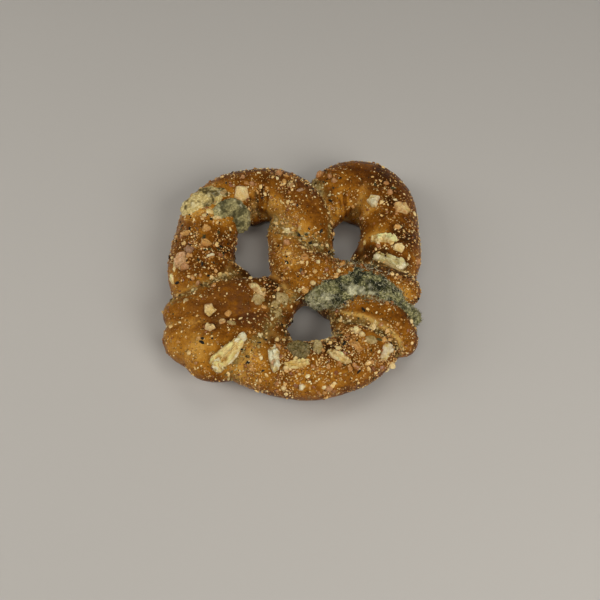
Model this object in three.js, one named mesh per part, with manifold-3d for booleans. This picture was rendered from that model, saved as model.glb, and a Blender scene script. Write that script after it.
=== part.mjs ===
// A baked soft pretzel with a full twist. One rope of dough runs from a pressed left end, through
// the twist, round both lobes and along the belly, back through the twist to a pressed right end.
// Flakes and granules of topping are baked on, and mould has grown in its folds.
// Millimetres, +Z up, origin on the table under the middle of the pretzel.
import * as THREE from 'three';
import { mergeVertices } from 'three/addons/utils/BufferGeometryUtils.js';
import Module from 'manifold-3d';

const wasm = await Module();
wasm.setup();

// ---- driving dimensions ----
const ROPE_SIDES = 18; // faces round the rope
const RING_STEP = 7; // spacing of the rope's sections
const POLE = 1e-9; // a unit sphere's ring smaller than this is its pole
const CAP_RINGS = 3; // rings that round off each end of a strand
const BEND_SPAN = 6; // how far before and after a section its bend is measured
const BEND_ROOM = 0.92; // the share of the bend's radius that the dough may fill inside it
const BEND_SHARPNESS = 6; // how suddenly that limit sets in

const MOULD_SIDES = 10; // faces round a ridge of mould
const MOULD_RING_STEP = 4.5;
const MOULD_LUMPINESS = 0.16; // how far mould bulges in and out, as a share of its girth

const FLAKE_THICKNESS = 1.5; // how far a flake stands above the crust
const FLAKE_ROUGHNESS = 0.18; // how uneven its outline is, as a share of its size
const LARGE_FLAKE = 9; // flakes longer than this have a finer outline
const SUNK_DEPTH = 0.9; // how far each flake and granule reaches into the crust

const GRANULES = 90;
const TRIES_PER_GRANULE = 40;
const LARGEST_GRANULE = 1.5; // half size
const SMALLEST_GRANULE = 0.75;
const LONGEST_GRANULE = 0.3; // how much longer than wide a granule may be, as a share
const GRANULE_SPACING = 5.5; // between centres, and clear of the flakes
const TOPPED_ARC = 1.15; // how far down each side of the rope granules lie, in radians from the top
const SEED = 3;

const PROBE_HEIGHT = 60; // from where the crust is felt for, well clear of the pretzel
const TABLE = [300, 300, 40]; // the block that cuts the underside flat

// Each station of a strand is [x, y, height of its centre, half width, half height].
const STRANDS = {
  // up through the twist, over the right strand, round the left lobe, down under the left end
  leftLobe: [
    [3, -5, 8, 8.5, 8],
    [9, 7, 8.5, 9.5, 8],
    [9, 17, 11, 10.5, 9],
    [6.5, 27, 17, 11.5, 10.5],
    [0.5, 38, 17.5, 12.5, 11],
    [-9, 46.5, 14, 13, 12],
    [-21.5, 49, 11.5, 13, 12.5],
    [-32.7, 44.7, 11.5, 14, 12.5],
    [-41.5, 35, 11.5, 15.5, 12.5],
    [-44.8, 21.5, 11.5, 15.5, 12.5],
    [-45.8, 8, 11.5, 16.3, 12.5],
    [-45, -5, 11, 16, 12],
    [-38.5, -29, 8.5, 14, 9.5],
  ],
  // the arc nearest the viewer, from under the left end to under the right end
  belly: [
    [-35, -29, 8.5, 13, 9.5],
    [-26, -42, 9, 13.5, 10],
    [-15, -49.5, 10.5, 13.5, 11.5],
    [5, -54.5, 11, 13.5, 12],
    [25.3, -49.5, 11, 13.5, 12],
    [35.5, -34.7, 10, 17.7, 11],
    [38.5, -19, 9, 19, 10],
  ],
  // from under the right end, round the right lobe, down under the left strand
  rightLobe: [
    [41, -25, 9, 13, 10],
    [43.5, -8, 10, 12.8, 11],
    [47, 6, 11.5, 15, 12.5],
    [48, 24, 11.5, 14.7, 12.5],
    [47, 40, 11.5, 15, 12.5],
    [39.5, 50, 11.5, 16, 12.5],
    [29.5, 51.5, 11.5, 16.5, 12.5],
    [20.5, 47.5, 11, 14.5, 12],
    [9, 34, 7, 10.5, 8.5],
    [2.5, 26, 7, 9.5, 8.5],
  ],
  // out from under the left strand, over it lower down, and along the right end's upper ridge
  crossing: [
    [0, 36, 7, 9, 8.5],
    [-3.5, 26.5, 9, 10, 9],
    [-3.5, 13.5, 12, 9.5, 9.5],
    [-2, 2, 15.5, 10.5, 10.5],
    [4.5, -6, 16, 14, 12.5],
    [15, -9, 15, 11.5, 13.5],
    [27, -10.5, 15.5, 9.5, 12.5],
    [39, -11.5, 16.5, 9, 10],
    [49, -12.5, 14.5, 9, 9],
    [59, -16.5, 10.5, 8.5, 9],
  ],
  // the pressed left end, whose two ridges lie side by side over the left side and the belly
  leftEndUpper: [
    [3, -4, 7, 8, 7.5],
    [-4, -11.5, 9.5, 10.5, 9.5],
    [-13, -18, 12, 12, 11.5],
    [-25, -20.5, 14.5, 11.5, 12.5],
    [-37, -22.5, 16.5, 11, 10],
    [-49, -25.5, 14, 10, 9.5],
    [-60.7, -29.5, 10.5, 8.5, 9],
  ],
  leftEndLower: [
    [-3.3, -17.7, 8.5, 7.3, 8.5],
    [-13, -29.3, 10.5, 8.7, 10.5],
    [-22, -39, 13.5, 12.5, 11],
    [-34, -44.5, 13.5, 16.5, 10.5],
    [-45.5, -40, 11, 12.5, 10],
    [-60.7, -33.8, 9, 8.5, 9],
  ],
  // dough that has sunk together across the corners of the holes
  leftHoleCorner: [
    [-42, 5, 10, 7, 8],
    [-33, -2, 10, 7, 8],
    [-22, -10, 10, 7, 8],
  ],
  leftHoleTop: [
    [-27, 36, 6, 6, 6.5],
    [-18, 41.8, 6, 6, 6.5],
    [-9, 42, 6, 6, 6.5],
  ],
  rightHoleTop: [
    [22, 45, 6, 6, 6.5],
    [32.7, 40, 6, 6, 6.5],
    [42, 34.5, 6, 6, 6.5],
  ],
  rightHoleCorner: [
    [41, 24, 8, 6, 7],
    [36.3, 13, 8, 6, 7],
    [31, 2, 9, 6, 8],
  ],
  bellyHoleLeft: [
    [-14, -27, 9, 6, 8.5],
    [-9.7, -35, 10, 6, 10],
    [-5, -44, 11, 6, 11],
  ],
  bellyHoleRight: [
    [22, -19, 10, 5, 9],
    [22.5, -27, 10, 5.5, 9],
    [24, -36, 10, 6, 9],
  ],
  // the lower ridge of the pressed right end
  rightEndLower: [
    [11, -14, 10, 6.5, 10],
    [20, -20.5, 12.5, 6, 11.5],
    [30, -24.5, 17.5, 6.5, 8.5],
    [39, -27.5, 17, 7.5, 8.5],
    [46, -32, 14.5, 8, 9],
    [49.5, -38, 10.5, 8, 9],
    [48, -45.5, 8.5, 7.5, 8],
  ],
};

// Ridges of mould, by the same five numbers: in the fold between the right end's two ridges,
// over the left lobe's corner and its inner wall, in the notch between the lobes and in the twist.
const MOULD = [
  [
    [6, -20.5, 16, 4, 5],
    [15, -19, 20, 7, 6.5],
    [23, -16.7, 21.5, 9.7, 6.5],
    [30, -14.7, 22.5, 9.7, 6],
    [37, -16.3, 22, 8, 6],
    [43.5, -21, 20, 6.5, 6],
    [49, -25.5, 16.5, 5, 5.5],
    [58.5, -28.5, 11, 4.5, 5],
  ],
  [
    [-41, 25, 21.5, 3.5, 3],
    [-34.5, 31, 21.5, 4.5, 4],
    [-29.5, 32.5, 19, 5, 4.5],
    [-27, 30, 14, 4.5, 4.5],
    [-27.5, 24, 9.5, 3.5, 4],
  ],
  [
    [-53.8, 26.5, 17.5, 4.5, 4.5],
    [-49.8, 33, 20, 7, 4.5],
    [-42.5, 35.7, 22, 6.5, 3.5],
    [-36, 36, 21.5, 4, 3],
  ],
  [
    [-50, 40.5, 18.5, 3.5, 3],
    [-42, 41.5, 23, 3, 2],
    [-32.5, 38.5, 22.5, 3, 2],
  ],
  [
    [8.5, 52.5, 16.5, 2.5, 2.5],
    [13, 44.5, 19.5, 3, 2.5],
    [15, 37, 18, 2.5, 2.5],
  ],
  [
    [-0.5, 14.5, 18, 3, 2.5],
    [8.5, 12.5, 17.5, 4.5, 3],
    [17, 11, 14, 3.5, 3],
  ],
];

// The flakes large enough to be told apart, each [x, y, length, width, turn in degrees].
const FLAKES = [
  [-29, -50.5, 24, 6.5, 51],
  [45.5, -0.5, 17.5, 5.5, -21],
  [-9.5, -53.5, 13.5, 4.5, 95],
  [43.5, 11.5, 13, 5, -17],
  [19, -52.5, 12.5, 4.5, -32],
  [-52, 0, 11, 6.5, 50],
  [1, -56, 10.5, 4, 0],
  [3, -48, 10.5, 8.5, 10],
  [-28, 40.5, 10.5, 7.5, -10],
  [41, -48.5, 10, 4, 75],
  [-5, -20, 8.5, 7, 30],
  [-17.5, -19, 8.5, 4, -30],
  [53.5, 31, 8, 6.5, 0],
  [39.5, 36.5, 7.8, 4.5, 100],
  [-7.5, -28.5, 7.5, 3.5, 80],
  [-39, -30, 7.5, 5.5, 20],
  [-58, -8.5, 7, 3, 100],
  [27, -47, 7, 3.4, -45],
  [-17, -24.5, 6.5, 3.8, 80],
  [-43.5, 8, 6, 4, 0],
  [51, 6, 5.5, 5, 0],
  [10.5, -48, 5.5, 4.5, 0],
  [13.5, 56, 5, 4, 0],
  [-53, 15.5, 5, 3, 0],
  [-38.5, -37.5, 4.8, 3.4, -20],
  [-43, 17.5, 4.4, 4, 0],
  [-5.5, 17, 4.2, 3.8, 0],
  [28, -39.5, 4, 4, 0],
  [-28, -36, 4, 3, -35],
  [-4, 7.5, 4, 3.2, 0],
];

// ---- solids ----
// A seeded draw between -1 and 1.
function draw() {
  return 2 * THREE.MathUtils.seededRandom() - 1;
}

function solidOf(geometry) {
  const bare = geometry.clone();
  bare.deleteAttribute('normal');
  bare.deleteAttribute('uv');
  const merged = mergeVertices(bare);
  return new wasm.Manifold(new wasm.Mesh({
    numProp: 3,
    vertProperties: Float32Array.from(merged.attributes.position.array),
    triVerts: Uint32Array.from(merged.index.array),
  }));
}

function geometryOf(solid) {
  const mesh = solid.getMesh();
  const geometry = new THREE.BufferGeometry();
  geometry.setAttribute('position', new THREE.BufferAttribute(mesh.vertProperties, 3));
  geometry.setIndex(new THREE.BufferAttribute(mesh.triVerts, 1));
  geometry.computeVertexNormals();
  return geometry;
}

// The mesh without what hangs on to nothing else: small hollows that joining has sealed, which so
// become filled, and loose scraps. It keeps the connected surface with the most triangles.
function outerShell(geometry) {
  const index = geometry.index.array;
  const parent = Array.from({ length: geometry.attributes.position.count }, (_, i) => i);
  const rootOf = (start) => {
    let i = start;
    while (parent[i] !== i) {
      parent[i] = parent[parent[i]];
      i = parent[i];
    }
    return i;
  };
  for (let i = 0; i < index.length; i += 3) {
    parent[rootOf(index[i + 1])] = rootOf(index[i]);
    parent[rootOf(index[i + 2])] = rootOf(index[i]);
  }
  const shells = new Map();
  for (let i = 0; i < index.length; i += 3) {
    const root = rootOf(index[i]);
    if (!shells.has(root)) shells.set(root, []);
    shells.get(root).push(index[i], index[i + 1], index[i + 2]);
  }
  const largest = [...shells.values()].sort((a, b) => b.length - a.length)[0];
  const shell = new THREE.BufferGeometry();
  shell.setAttribute('position', geometry.attributes.position);
  shell.setIndex(largest);
  const kept = shell.toNonIndexed();
  const merged = mergeVertices(kept);
  merged.computeVertexNormals();
  return merged;
}

// Where ring number `ring` lies along a strand, as a distance, and the share of its girth there.
function ringPlace(ring, rings, length, startCap, endCap) {
  const fromEnd = rings - ring;
  if (ring < CAP_RINGS || fromEnd < CAP_RINGS) {
    const turn = (Math.min(ring, fromEnd) / CAP_RINGS) * (Math.PI / 2);
    const cap = ring < fromEnd ? startCap : endCap;
    const inset = cap * (1 - Math.cos(turn));
    return { distance: ring < fromEnd ? inset : length - inset, share: Math.sin(turn) };
  }
  const along = (ring - CAP_RINGS) / (rings - 2 * CAP_RINGS);
  return { distance: startCap + along * (length - startCap - endCap), share: 1 };
}

// The share of its half width that the dough keeps on one side (+1 right, -1 left) of the route:
// on the inside of a tight bend it is squeezed, and never reaches the bend's own centre.
function bendLimit(route, along, length, halfWidth, side) {
  const step = BEND_SPAN / length;
  const before = route.getTangentAt(Math.max(0, along - step));
  const after = route.getTangentAt(Math.min(1, along + step));
  const turn = before.x * after.y - before.y * after.x;
  if (turn * side >= 0) return 1;
  const radius = (2 * BEND_SPAN) / Math.asin(Math.min(1, Math.abs(turn)));
  const crowding = halfWidth / (BEND_ROOM * radius);
  return (1 + crowding ** BEND_SHARPNESS) ** (-1 / BEND_SHARPNESS);
}

// A sphere whose axis is stretched along the stations, which makes a strand with round ends.
// Where it is lumpy, each point of its surface lies a random share further in or out.
function strandGeometry(stations, sides = ROPE_SIDES, ringStep = RING_STEP, lumpiness = 0) {
  const route = new THREE.CatmullRomCurve3(
    stations.map(([x, y, z]) => new THREE.Vector3(x, y, z)), false, 'catmullrom');
  const girth = new THREE.CatmullRomCurve3(
    stations.map(([, , , halfWidth, halfHeight]) => new THREE.Vector3(halfWidth, halfHeight, 0)),
    false, 'catmullrom');
  const length = route.getLength();
  const startCap = stations[0][3];
  const endCap = stations.at(-1)[3];
  const rings = 2 * CAP_RINGS + Math.round((length - startCap - endCap) / ringStep);
  const geometry = new THREE.SphereGeometry(1, sides, rings);
  const position = geometry.attributes.position;
  const swelling = Array.from({ length: (rings + 1) * sides }, () => 1 + lumpiness * draw());
  const up = new THREE.Vector3(0, 0, 1);
  for (let i = 0; i < position.count; i += 1) {
    const ring = Math.floor(i / (sides + 1));
    const column = (i % (sides + 1)) % sides;
    const slant = Math.sin((ring / rings) * Math.PI);
    const { distance, share } = ringPlace(ring, rings, length, startCap, endCap);
    const t = route.getUtoTmapping(distance / length);
    const centre = route.getPoint(t);
    const size = girth.getPoint(t);
    const tangent = route.getTangent(t);
    const side = new THREE.Vector3().crossVectors(tangent, up).normalize();
    const top = new THREE.Vector3().crossVectors(side, tangent);
    const reach = slant > POLE ? (position.getX(i) / slant) * share : 0;
    const sideways = reach * bendLimit(route, distance / length, length, size.x, Math.sign(reach));
    const upwards = slant > POLE ? (-position.getZ(i) / slant) * share : 0;
    size.multiplyScalar(swelling[ring * sides + column]);
    centre.addScaledVector(side, sideways * size.x).addScaledVector(top, upwards * size.y);
    position.setXYZ(i, centre.x, centre.y, centre.z);
  }
  return geometry;
}

function tableBelow() {
  return solidOf(new THREE.BoxGeometry(...TABLE).translate(0, 0, -TABLE[2] / 2));
}

// ---- what lies on the crust ----
// The first point that a ray meets on the crust, with the crust's outward direction there.
function crustAt(crustMesh, origin, direction) {
  const [hit] = new THREE.Raycaster(origin, direction).intersectObject(crustMesh);
  return hit ? { point: hit.point, outward: hit.face.normal.clone() } : null;
}

// A rounded stone of half sizes length, width and thickness, laid on the crust at a spot. Each of
// its points is let down onto the crust along the spot's own outward direction, so that a long
// flake bends over the rope, and its underside stays sunk in the dough.
function layOn(crustMesh, stone, spot, halfLength, halfWidth, thickness, turn) {
  const along = new THREE.Vector3(Math.cos(turn), Math.sin(turn), 0);
  const across = new THREE.Vector3().crossVectors(spot.outward, along).normalize();
  along.crossVectors(across, spot.outward);
  const inward = spot.outward.clone().negate();
  const position = stone.attributes.position;
  for (let i = 0; i < position.count; i += 1) {
    const above = spot.point.clone()
      .addScaledVector(along, position.getX(i) * halfLength)
      .addScaledVector(across, position.getY(i) * halfWidth);
    const start = above.clone().addScaledVector(spot.outward, 2 * halfWidth);
    const landing = crustAt(crustMesh, start, inward);
    const rest = landing && landing.point.distanceTo(above) < halfLength ? landing.point : above;
    const lift = position.getZ(i);
    rest.addScaledVector(spot.outward, lift > 0 ? lift * thickness : lift * SUNK_DEPTH);
    position.setXYZ(i, rest.x, rest.y, rest.z);
  }
  return stone;
}

function roughStone(geometry, roughness) {
  geometry.deleteAttribute('normal');
  geometry.deleteAttribute('uv');
  const stone = mergeVertices(geometry);
  const position = stone.attributes.position;
  for (let i = 0; i < position.count; i += 1) {
    const scale = 1 + roughness * draw();
    position.setXYZ(i, position.getX(i) * scale, position.getY(i) * scale, position.getZ(i));
  }
  return stone;
}

// The spot on top of the crust at x, y.
function spotAbove(crustMesh, x, y) {
  return crustAt(crustMesh, new THREE.Vector3(x, y, PROBE_HEIGHT), new THREE.Vector3(0, 0, -1));
}

function flake(crustMesh, [x, y, length, width, degrees]) {
  const shape = length > LARGE_FLAKE
    ? new THREE.IcosahedronGeometry(1, 1)
    : new THREE.DodecahedronGeometry(1, 0);
  const spot = spotAbove(crustMesh, x, y);
  const turn = THREE.MathUtils.degToRad(degrees);
  const stone = roughStone(shape, FLAKE_ROUGHNESS);
  return layOn(crustMesh, stone, spot, length / 2, width / 2, FLAKE_THICKNESS, turn);
}

// A spot on the upper side of a strand between two of its stations, found from outside along a ray
// aimed at its middle.
function spotBetween(crustMesh, station, next) {
  const from = new THREE.Vector3(...station);
  const to = new THREE.Vector3(...next);
  const middle = from.clone().lerp(to, THREE.MathUtils.seededRandom());
  const lean = TOPPED_ARC * draw();
  const outward = to.sub(from).cross(new THREE.Vector3(0, 0, 1)).normalize()
    .multiplyScalar(Math.sin(lean));
  outward.z = Math.cos(lean);
  const start = middle.addScaledVector(outward, PROBE_HEIGHT);
  return crustAt(crustMesh, start, outward.negate());
}

// Granules on each stretch of the rope in turn, the largest first, clear of each other and of what
// is taken.
function granules(crustMesh, taken) {
  const stretches = [
    STRANDS.leftLobe, STRANDS.rightLobe, STRANDS.belly, STRANDS.crossing, STRANDS.leftEndLower,
    STRANDS.rightEndLower,
  ].flatMap((stations) => stations.slice(1).map((next, i) => [stations[i], next]));
  const laid = [];
  for (let i = 0; laid.length < GRANULES && i < GRANULES * TRIES_PER_GRANULE; i += 1) {
    const spot = spotBetween(crustMesh, ...stretches[i % stretches.length]);
    if (!spot || taken.some((other) => other.distanceTo(spot.point) < GRANULE_SPACING)) continue;
    taken.push(spot.point.clone());
    const size = THREE.MathUtils.lerp(LARGEST_GRANULE, SMALLEST_GRANULE, laid.length / GRANULES);
    const stone = roughStone(new THREE.IcosahedronGeometry(1, 0), FLAKE_ROUGHNESS);
    const length = size * (1 + LONGEST_GRANULE * Math.abs(draw()));
    laid.push(layOn(crustMesh, stone, spot, length, size, size, Math.PI * draw()));
  }
  return laid;
}

// ---- the pretzel ----
function joined(solids) {
  return solids.reduce((whole, solid) => whole.add(solid));
}

THREE.MathUtils.seededRandom(SEED);
const ridges = MOULD.map(
  (stations) => solidOf(strandGeometry(stations, MOULD_SIDES, MOULD_RING_STEP, MOULD_LUMPINESS)));
const rope = Object.values(STRANDS).map((stations) => solidOf(strandGeometry(stations)));
const bare = joined([...rope, ...ridges]).subtract(tableBelow());

const crust = new THREE.MeshStandardMaterial({ color: 0xa8641f, roughness: 0.55, metalness: 0 });
const bareMesh = new THREE.Mesh(geometryOf(bare), crust);
const flakes = FLAKES.map((row) => flake(bareMesh, row));
const clearOf = FLAKES.map(([x, y]) => spotAbove(bareMesh, x, y).point);
const topping = [...flakes, ...granules(bareMesh, clearOf)].map(solidOf);
const whole = joined([bare, ...topping]);

const pretzel = new THREE.Mesh(outerShell(geometryOf(whole)), crust);
pretzel.name = 'pretzel';

const model = new THREE.Group();
model.add(pretzel);

export default model;
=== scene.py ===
"""A baked soft pretzel with flakes, granules, herb specks and mould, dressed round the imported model.

Blender works in metres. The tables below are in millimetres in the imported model's own frame, with
+Z up and +Y away from the viewer, and are turned into metres where they are used.
"""

import logging
import math
from collections.abc import Iterable, Sequence
from dataclasses import dataclass
from enum import Enum

import bmesh
import bpy
import numpy as np
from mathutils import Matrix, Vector, noise
from mathutils.bvhtree import BVHTree


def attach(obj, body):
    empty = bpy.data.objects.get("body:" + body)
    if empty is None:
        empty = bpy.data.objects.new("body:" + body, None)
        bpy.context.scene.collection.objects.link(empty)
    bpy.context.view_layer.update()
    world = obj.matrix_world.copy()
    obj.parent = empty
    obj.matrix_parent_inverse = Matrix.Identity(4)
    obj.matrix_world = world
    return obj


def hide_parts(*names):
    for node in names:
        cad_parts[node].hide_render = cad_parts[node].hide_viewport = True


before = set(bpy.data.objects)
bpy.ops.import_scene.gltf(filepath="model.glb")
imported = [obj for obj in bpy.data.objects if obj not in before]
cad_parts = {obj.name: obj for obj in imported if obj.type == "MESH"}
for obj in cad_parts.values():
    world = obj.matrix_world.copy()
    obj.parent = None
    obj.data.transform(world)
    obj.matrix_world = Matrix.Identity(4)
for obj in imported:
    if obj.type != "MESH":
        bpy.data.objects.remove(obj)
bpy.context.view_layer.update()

log = logging.getLogger("pretzel")

MM = 0.001
TURN = 2 * math.pi
BODY = "root"
NODE = "pretzel"
MAPS = ("bake", "fold", "filling", "skin", "granules", "herbs", "fringe", "dark", "pale", "fuzz")
NOISE_STEP = 17.3  # how far apart in the noise two seeds read it
CLUMP_STEP = 31.7

Station = tuple[float, float, float, float, float]  # x, y, height of centre, half width, half height
Point = tuple[float, float, float]
Colour = tuple[float, float, float]
Stops = tuple[tuple[float, Colour], ...]  # places from 0 to 1 along a row of colours
Faces = list[tuple[int, ...]]
Body = tuple[np.ndarray, Faces]  # vertices in metres, faces


# ---- the rope's route and the ridges of mould ----
STRANDS: dict[str, list[Station]] = {
    "left lobe": [
        (3, -5, 8, 8.5, 8), (9, 7, 8.5, 9.5, 8), (9, 17, 11, 10.5, 9), (6.5, 27, 17, 11.5, 10.5),
        (0.5, 38, 17.5, 12.5, 11), (-9, 46.5, 14, 13, 12), (-21.5, 49, 11.5, 13, 12.5),
        (-32.7, 44.7, 11.5, 14, 12.5), (-41.5, 35, 11.5, 15.5, 12.5), (-44.8, 21.5, 11.5, 15.5, 12.5),
        (-45.8, 8, 11.5, 16.3, 12.5), (-45, -5, 11, 16, 12), (-38.5, -29, 8.5, 14, 9.5),
    ],
    "belly": [
        (-35, -29, 8.5, 13, 9.5), (-26, -42, 9, 13.5, 10), (-15, -49.5, 10.5, 13.5, 11.5),
        (5, -54.5, 11, 13.5, 12), (25.3, -49.5, 11, 13.5, 12), (35.5, -34.7, 10, 17.7, 11),
        (38.5, -19, 9, 19, 10),
    ],
    "right lobe": [
        (41, -25, 9, 13, 10), (43.5, -8, 10, 12.8, 11), (47, 6, 11.5, 15, 12.5),
        (48, 24, 11.5, 14.7, 12.5), (47, 40, 11.5, 15, 12.5), (39.5, 50, 11.5, 16, 12.5),
        (29.5, 51.5, 11.5, 16.5, 12.5), (20.5, 47.5, 11, 14.5, 12), (9, 34, 7, 10.5, 8.5),
        (2.5, 26, 7, 9.5, 8.5),
    ],
    "crossing": [
        (0, 36, 7, 9, 8.5), (-3.5, 26.5, 9, 10, 9), (-3.5, 13.5, 12, 9.5, 9.5),
        (-2, 2, 15.5, 10.5, 10.5), (4.5, -6, 16, 14, 12.5), (15, -9, 15, 11.5, 13.5),
        (27, -10.5, 15.5, 9.5, 12.5), (39, -11.5, 16.5, 9, 10), (49, -12.5, 14.5, 9, 9),
        (59, -16.5, 10.5, 8.5, 9),
    ],
    "left end, upper ridge": [
        (3, -4, 7, 8, 7.5), (-4, -11.5, 9.5, 10.5, 9.5), (-13, -18, 12, 12, 11.5),
        (-25, -20.5, 14.5, 11.5, 12.5), (-37, -22.5, 16.5, 11, 10), (-49, -25.5, 14, 10, 9.5),
        (-60.7, -29.5, 10.5, 8.5, 9),
    ],
    "left end, lower ridge": [
        (-3.3, -17.7, 8.5, 7.3, 8.5), (-13, -29.3, 10.5, 8.7, 10.5), (-22, -39, 13.5, 12.5, 11),
        (-34, -44.5, 13.5, 16.5, 10.5), (-45.5, -40, 11, 12.5, 10), (-60.7, -33.8, 9, 8.5, 9),
    ],
    "right end, lower ridge": [
        (11, -14, 10, 6.5, 10), (20, -20.5, 12.5, 6, 11.5), (30, -24.5, 17.5, 6.5, 8.5),
        (39, -27.5, 17, 7.5, 8.5), (46, -32, 14.5, 8, 9), (49.5, -38, 10.5, 8, 9),
        (48, -45.5, 8.5, 7.5, 8),
    ],
    "left hole, corner": [(-42, 5, 10, 7, 8), (-33, -2, 10, 7, 8), (-22, -10, 10, 7, 8)],
    "left hole, top": [(-27, 36, 6, 6, 6.5), (-18, 41.8, 6, 6, 6.5), (-9, 42, 6, 6, 6.5)],
    "right hole, top": [(22, 45, 6, 6, 6.5), (32.7, 40, 6, 6, 6.5), (42, 34.5, 6, 6, 6.5)],
    "right hole, corner": [(41, 24, 8, 6, 7), (36.3, 13, 8, 6, 7), (31, 2, 9, 6, 8)],
    "belly hole, left": [(-14, -27, 9, 6, 8.5), (-9.7, -35, 10, 6, 10), (-5, -44, 11, 6, 11)],
    "belly hole, right": [(22, -19, 10, 5, 9), (22.5, -27, 10, 5.5, 9), (24, -36, 10, 6, 9)],
}


class Growth(Enum):
    """How a ridge of mould looks: its dark, mid and pale colours, and how much of it is dark."""

    FOREST = ((0.02, 0.022, 0.010), (0.112, 0.110, 0.039), (0.54, 0.50, 0.235), 0.48)
    SAGE = ((0.10, 0.088, 0.036), (0.27, 0.235, 0.10), (0.54, 0.47, 0.215), 0.35)
    STRAW = ((0.12, 0.085, 0.025), (0.60, 0.44, 0.15), (0.92, 0.76, 0.36), 0.2)


@dataclass(frozen=True)
class Ridge:
    """One ridge of mould: what it is like, and its route by the same five numbers as a strand."""

    growth: Growth
    stations: tuple[Station, ...]


MOULD: tuple[Ridge, ...] = (
    Ridge(Growth.FOREST, (
        (6, -20.5, 16, 4, 5), (15, -19, 20, 7, 6.5), (23, -16.7, 21.3, 9.7, 6.5),
        (30, -14.7, 22.2, 9.7, 6), (37, -16.3, 21.8, 8, 6), (43.5, -21, 20, 6.5, 6),
        (49, -25.5, 16.5, 5, 5.5), (58.5, -28.5, 11, 4.5, 5),
    )),
    Ridge(Growth.SAGE, (
        (-41, 25, 21.5, 3.5, 3), (-34.5, 31, 21.5, 4.5, 4), (-29.5, 32.5, 19, 5, 4.5),
        (-28, 29, 15, 5.5, 5), (-28.5, 24, 10.5, 4.5, 4.5),
    )),
    Ridge(Growth.STRAW, (
        (-53.8, 26.5, 17.5, 4.5, 4.5), (-49.8, 33, 20, 7, 4.5), (-42.5, 35.7, 22, 6.5, 3.5),
        (-36, 36, 21.5, 4, 3),
    )),
    Ridge(Growth.STRAW, ((-49, 41, 18.5, 3, 3), (-42, 41.5, 23, 2.6, 2), (-33.5, 38.5, 22.5, 2.6, 2))),
)


# ---- arrays and meshes ----
def unit(vectors: np.ndarray) -> np.ndarray:
    """The same directions at length 1."""
    return vectors / np.maximum(np.linalg.norm(vectors, axis=-1, keepdims=True), 1e-12)


def catmull_rom(points: np.ndarray, steps: int) -> np.ndarray:
    """A uniform Catmull-Rom curve through points.

    Args:
        points: One row for each point, of any number of columns.
        steps: Samples to a span.

    Returns:
        The samples, one row each, the last point included.
    """
    rows = np.vstack([2 * points[0] - points[1], points, 2 * points[-1] - points[-2]])
    t = np.linspace(0, 1, steps, endpoint=False)[:, None]
    spans = [
        0.5 * (2 * b + (c - a) * t + (2 * a - 5 * b + 4 * c - d) * t**2
               + (3 * b - a - 3 * c + d) * t**3)
        for a, b, c, d in zip(rows, rows[1:], rows[2:], rows[3:])
    ]
    return np.vstack([*spans, points[-1:]])


class Route:
    """A smooth route through a strand's stations, read by the distance along it."""

    def __init__(self, stations: Iterable[Station], samples: int) -> None:
        """Curves the route through the stations and measures it.

        Args:
            stations: The strand's stations in millimetres.
            samples: Samples to a span.
        """
        self.rows = catmull_rom(np.array(list(stations)) * MM, samples)
        steps = np.linalg.norm(np.diff(self.rows[:, :3], axis=0), axis=1)
        self.travelled = np.concatenate([[0], np.cumsum(steps)])
        self.length = self.travelled[-1]
        self.headings = np.gradient(self.rows[:, :3], axis=0)

    def at(self, distance: np.ndarray) -> np.ndarray:
        """The station's five numbers at each distance, in metres. Past an end they are the end's."""
        return self._read(self.rows, distance)

    def direction(self, distance: np.ndarray) -> np.ndarray:
        """The way that the route heads at each distance."""
        return unit(self._read(self.headings, distance))

    def _read(self, rows: np.ndarray, distance: np.ndarray) -> np.ndarray:
        """The rows between samples at each distance."""
        return np.column_stack([np.interp(distance, self.travelled, column) for column in rows.T])


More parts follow.
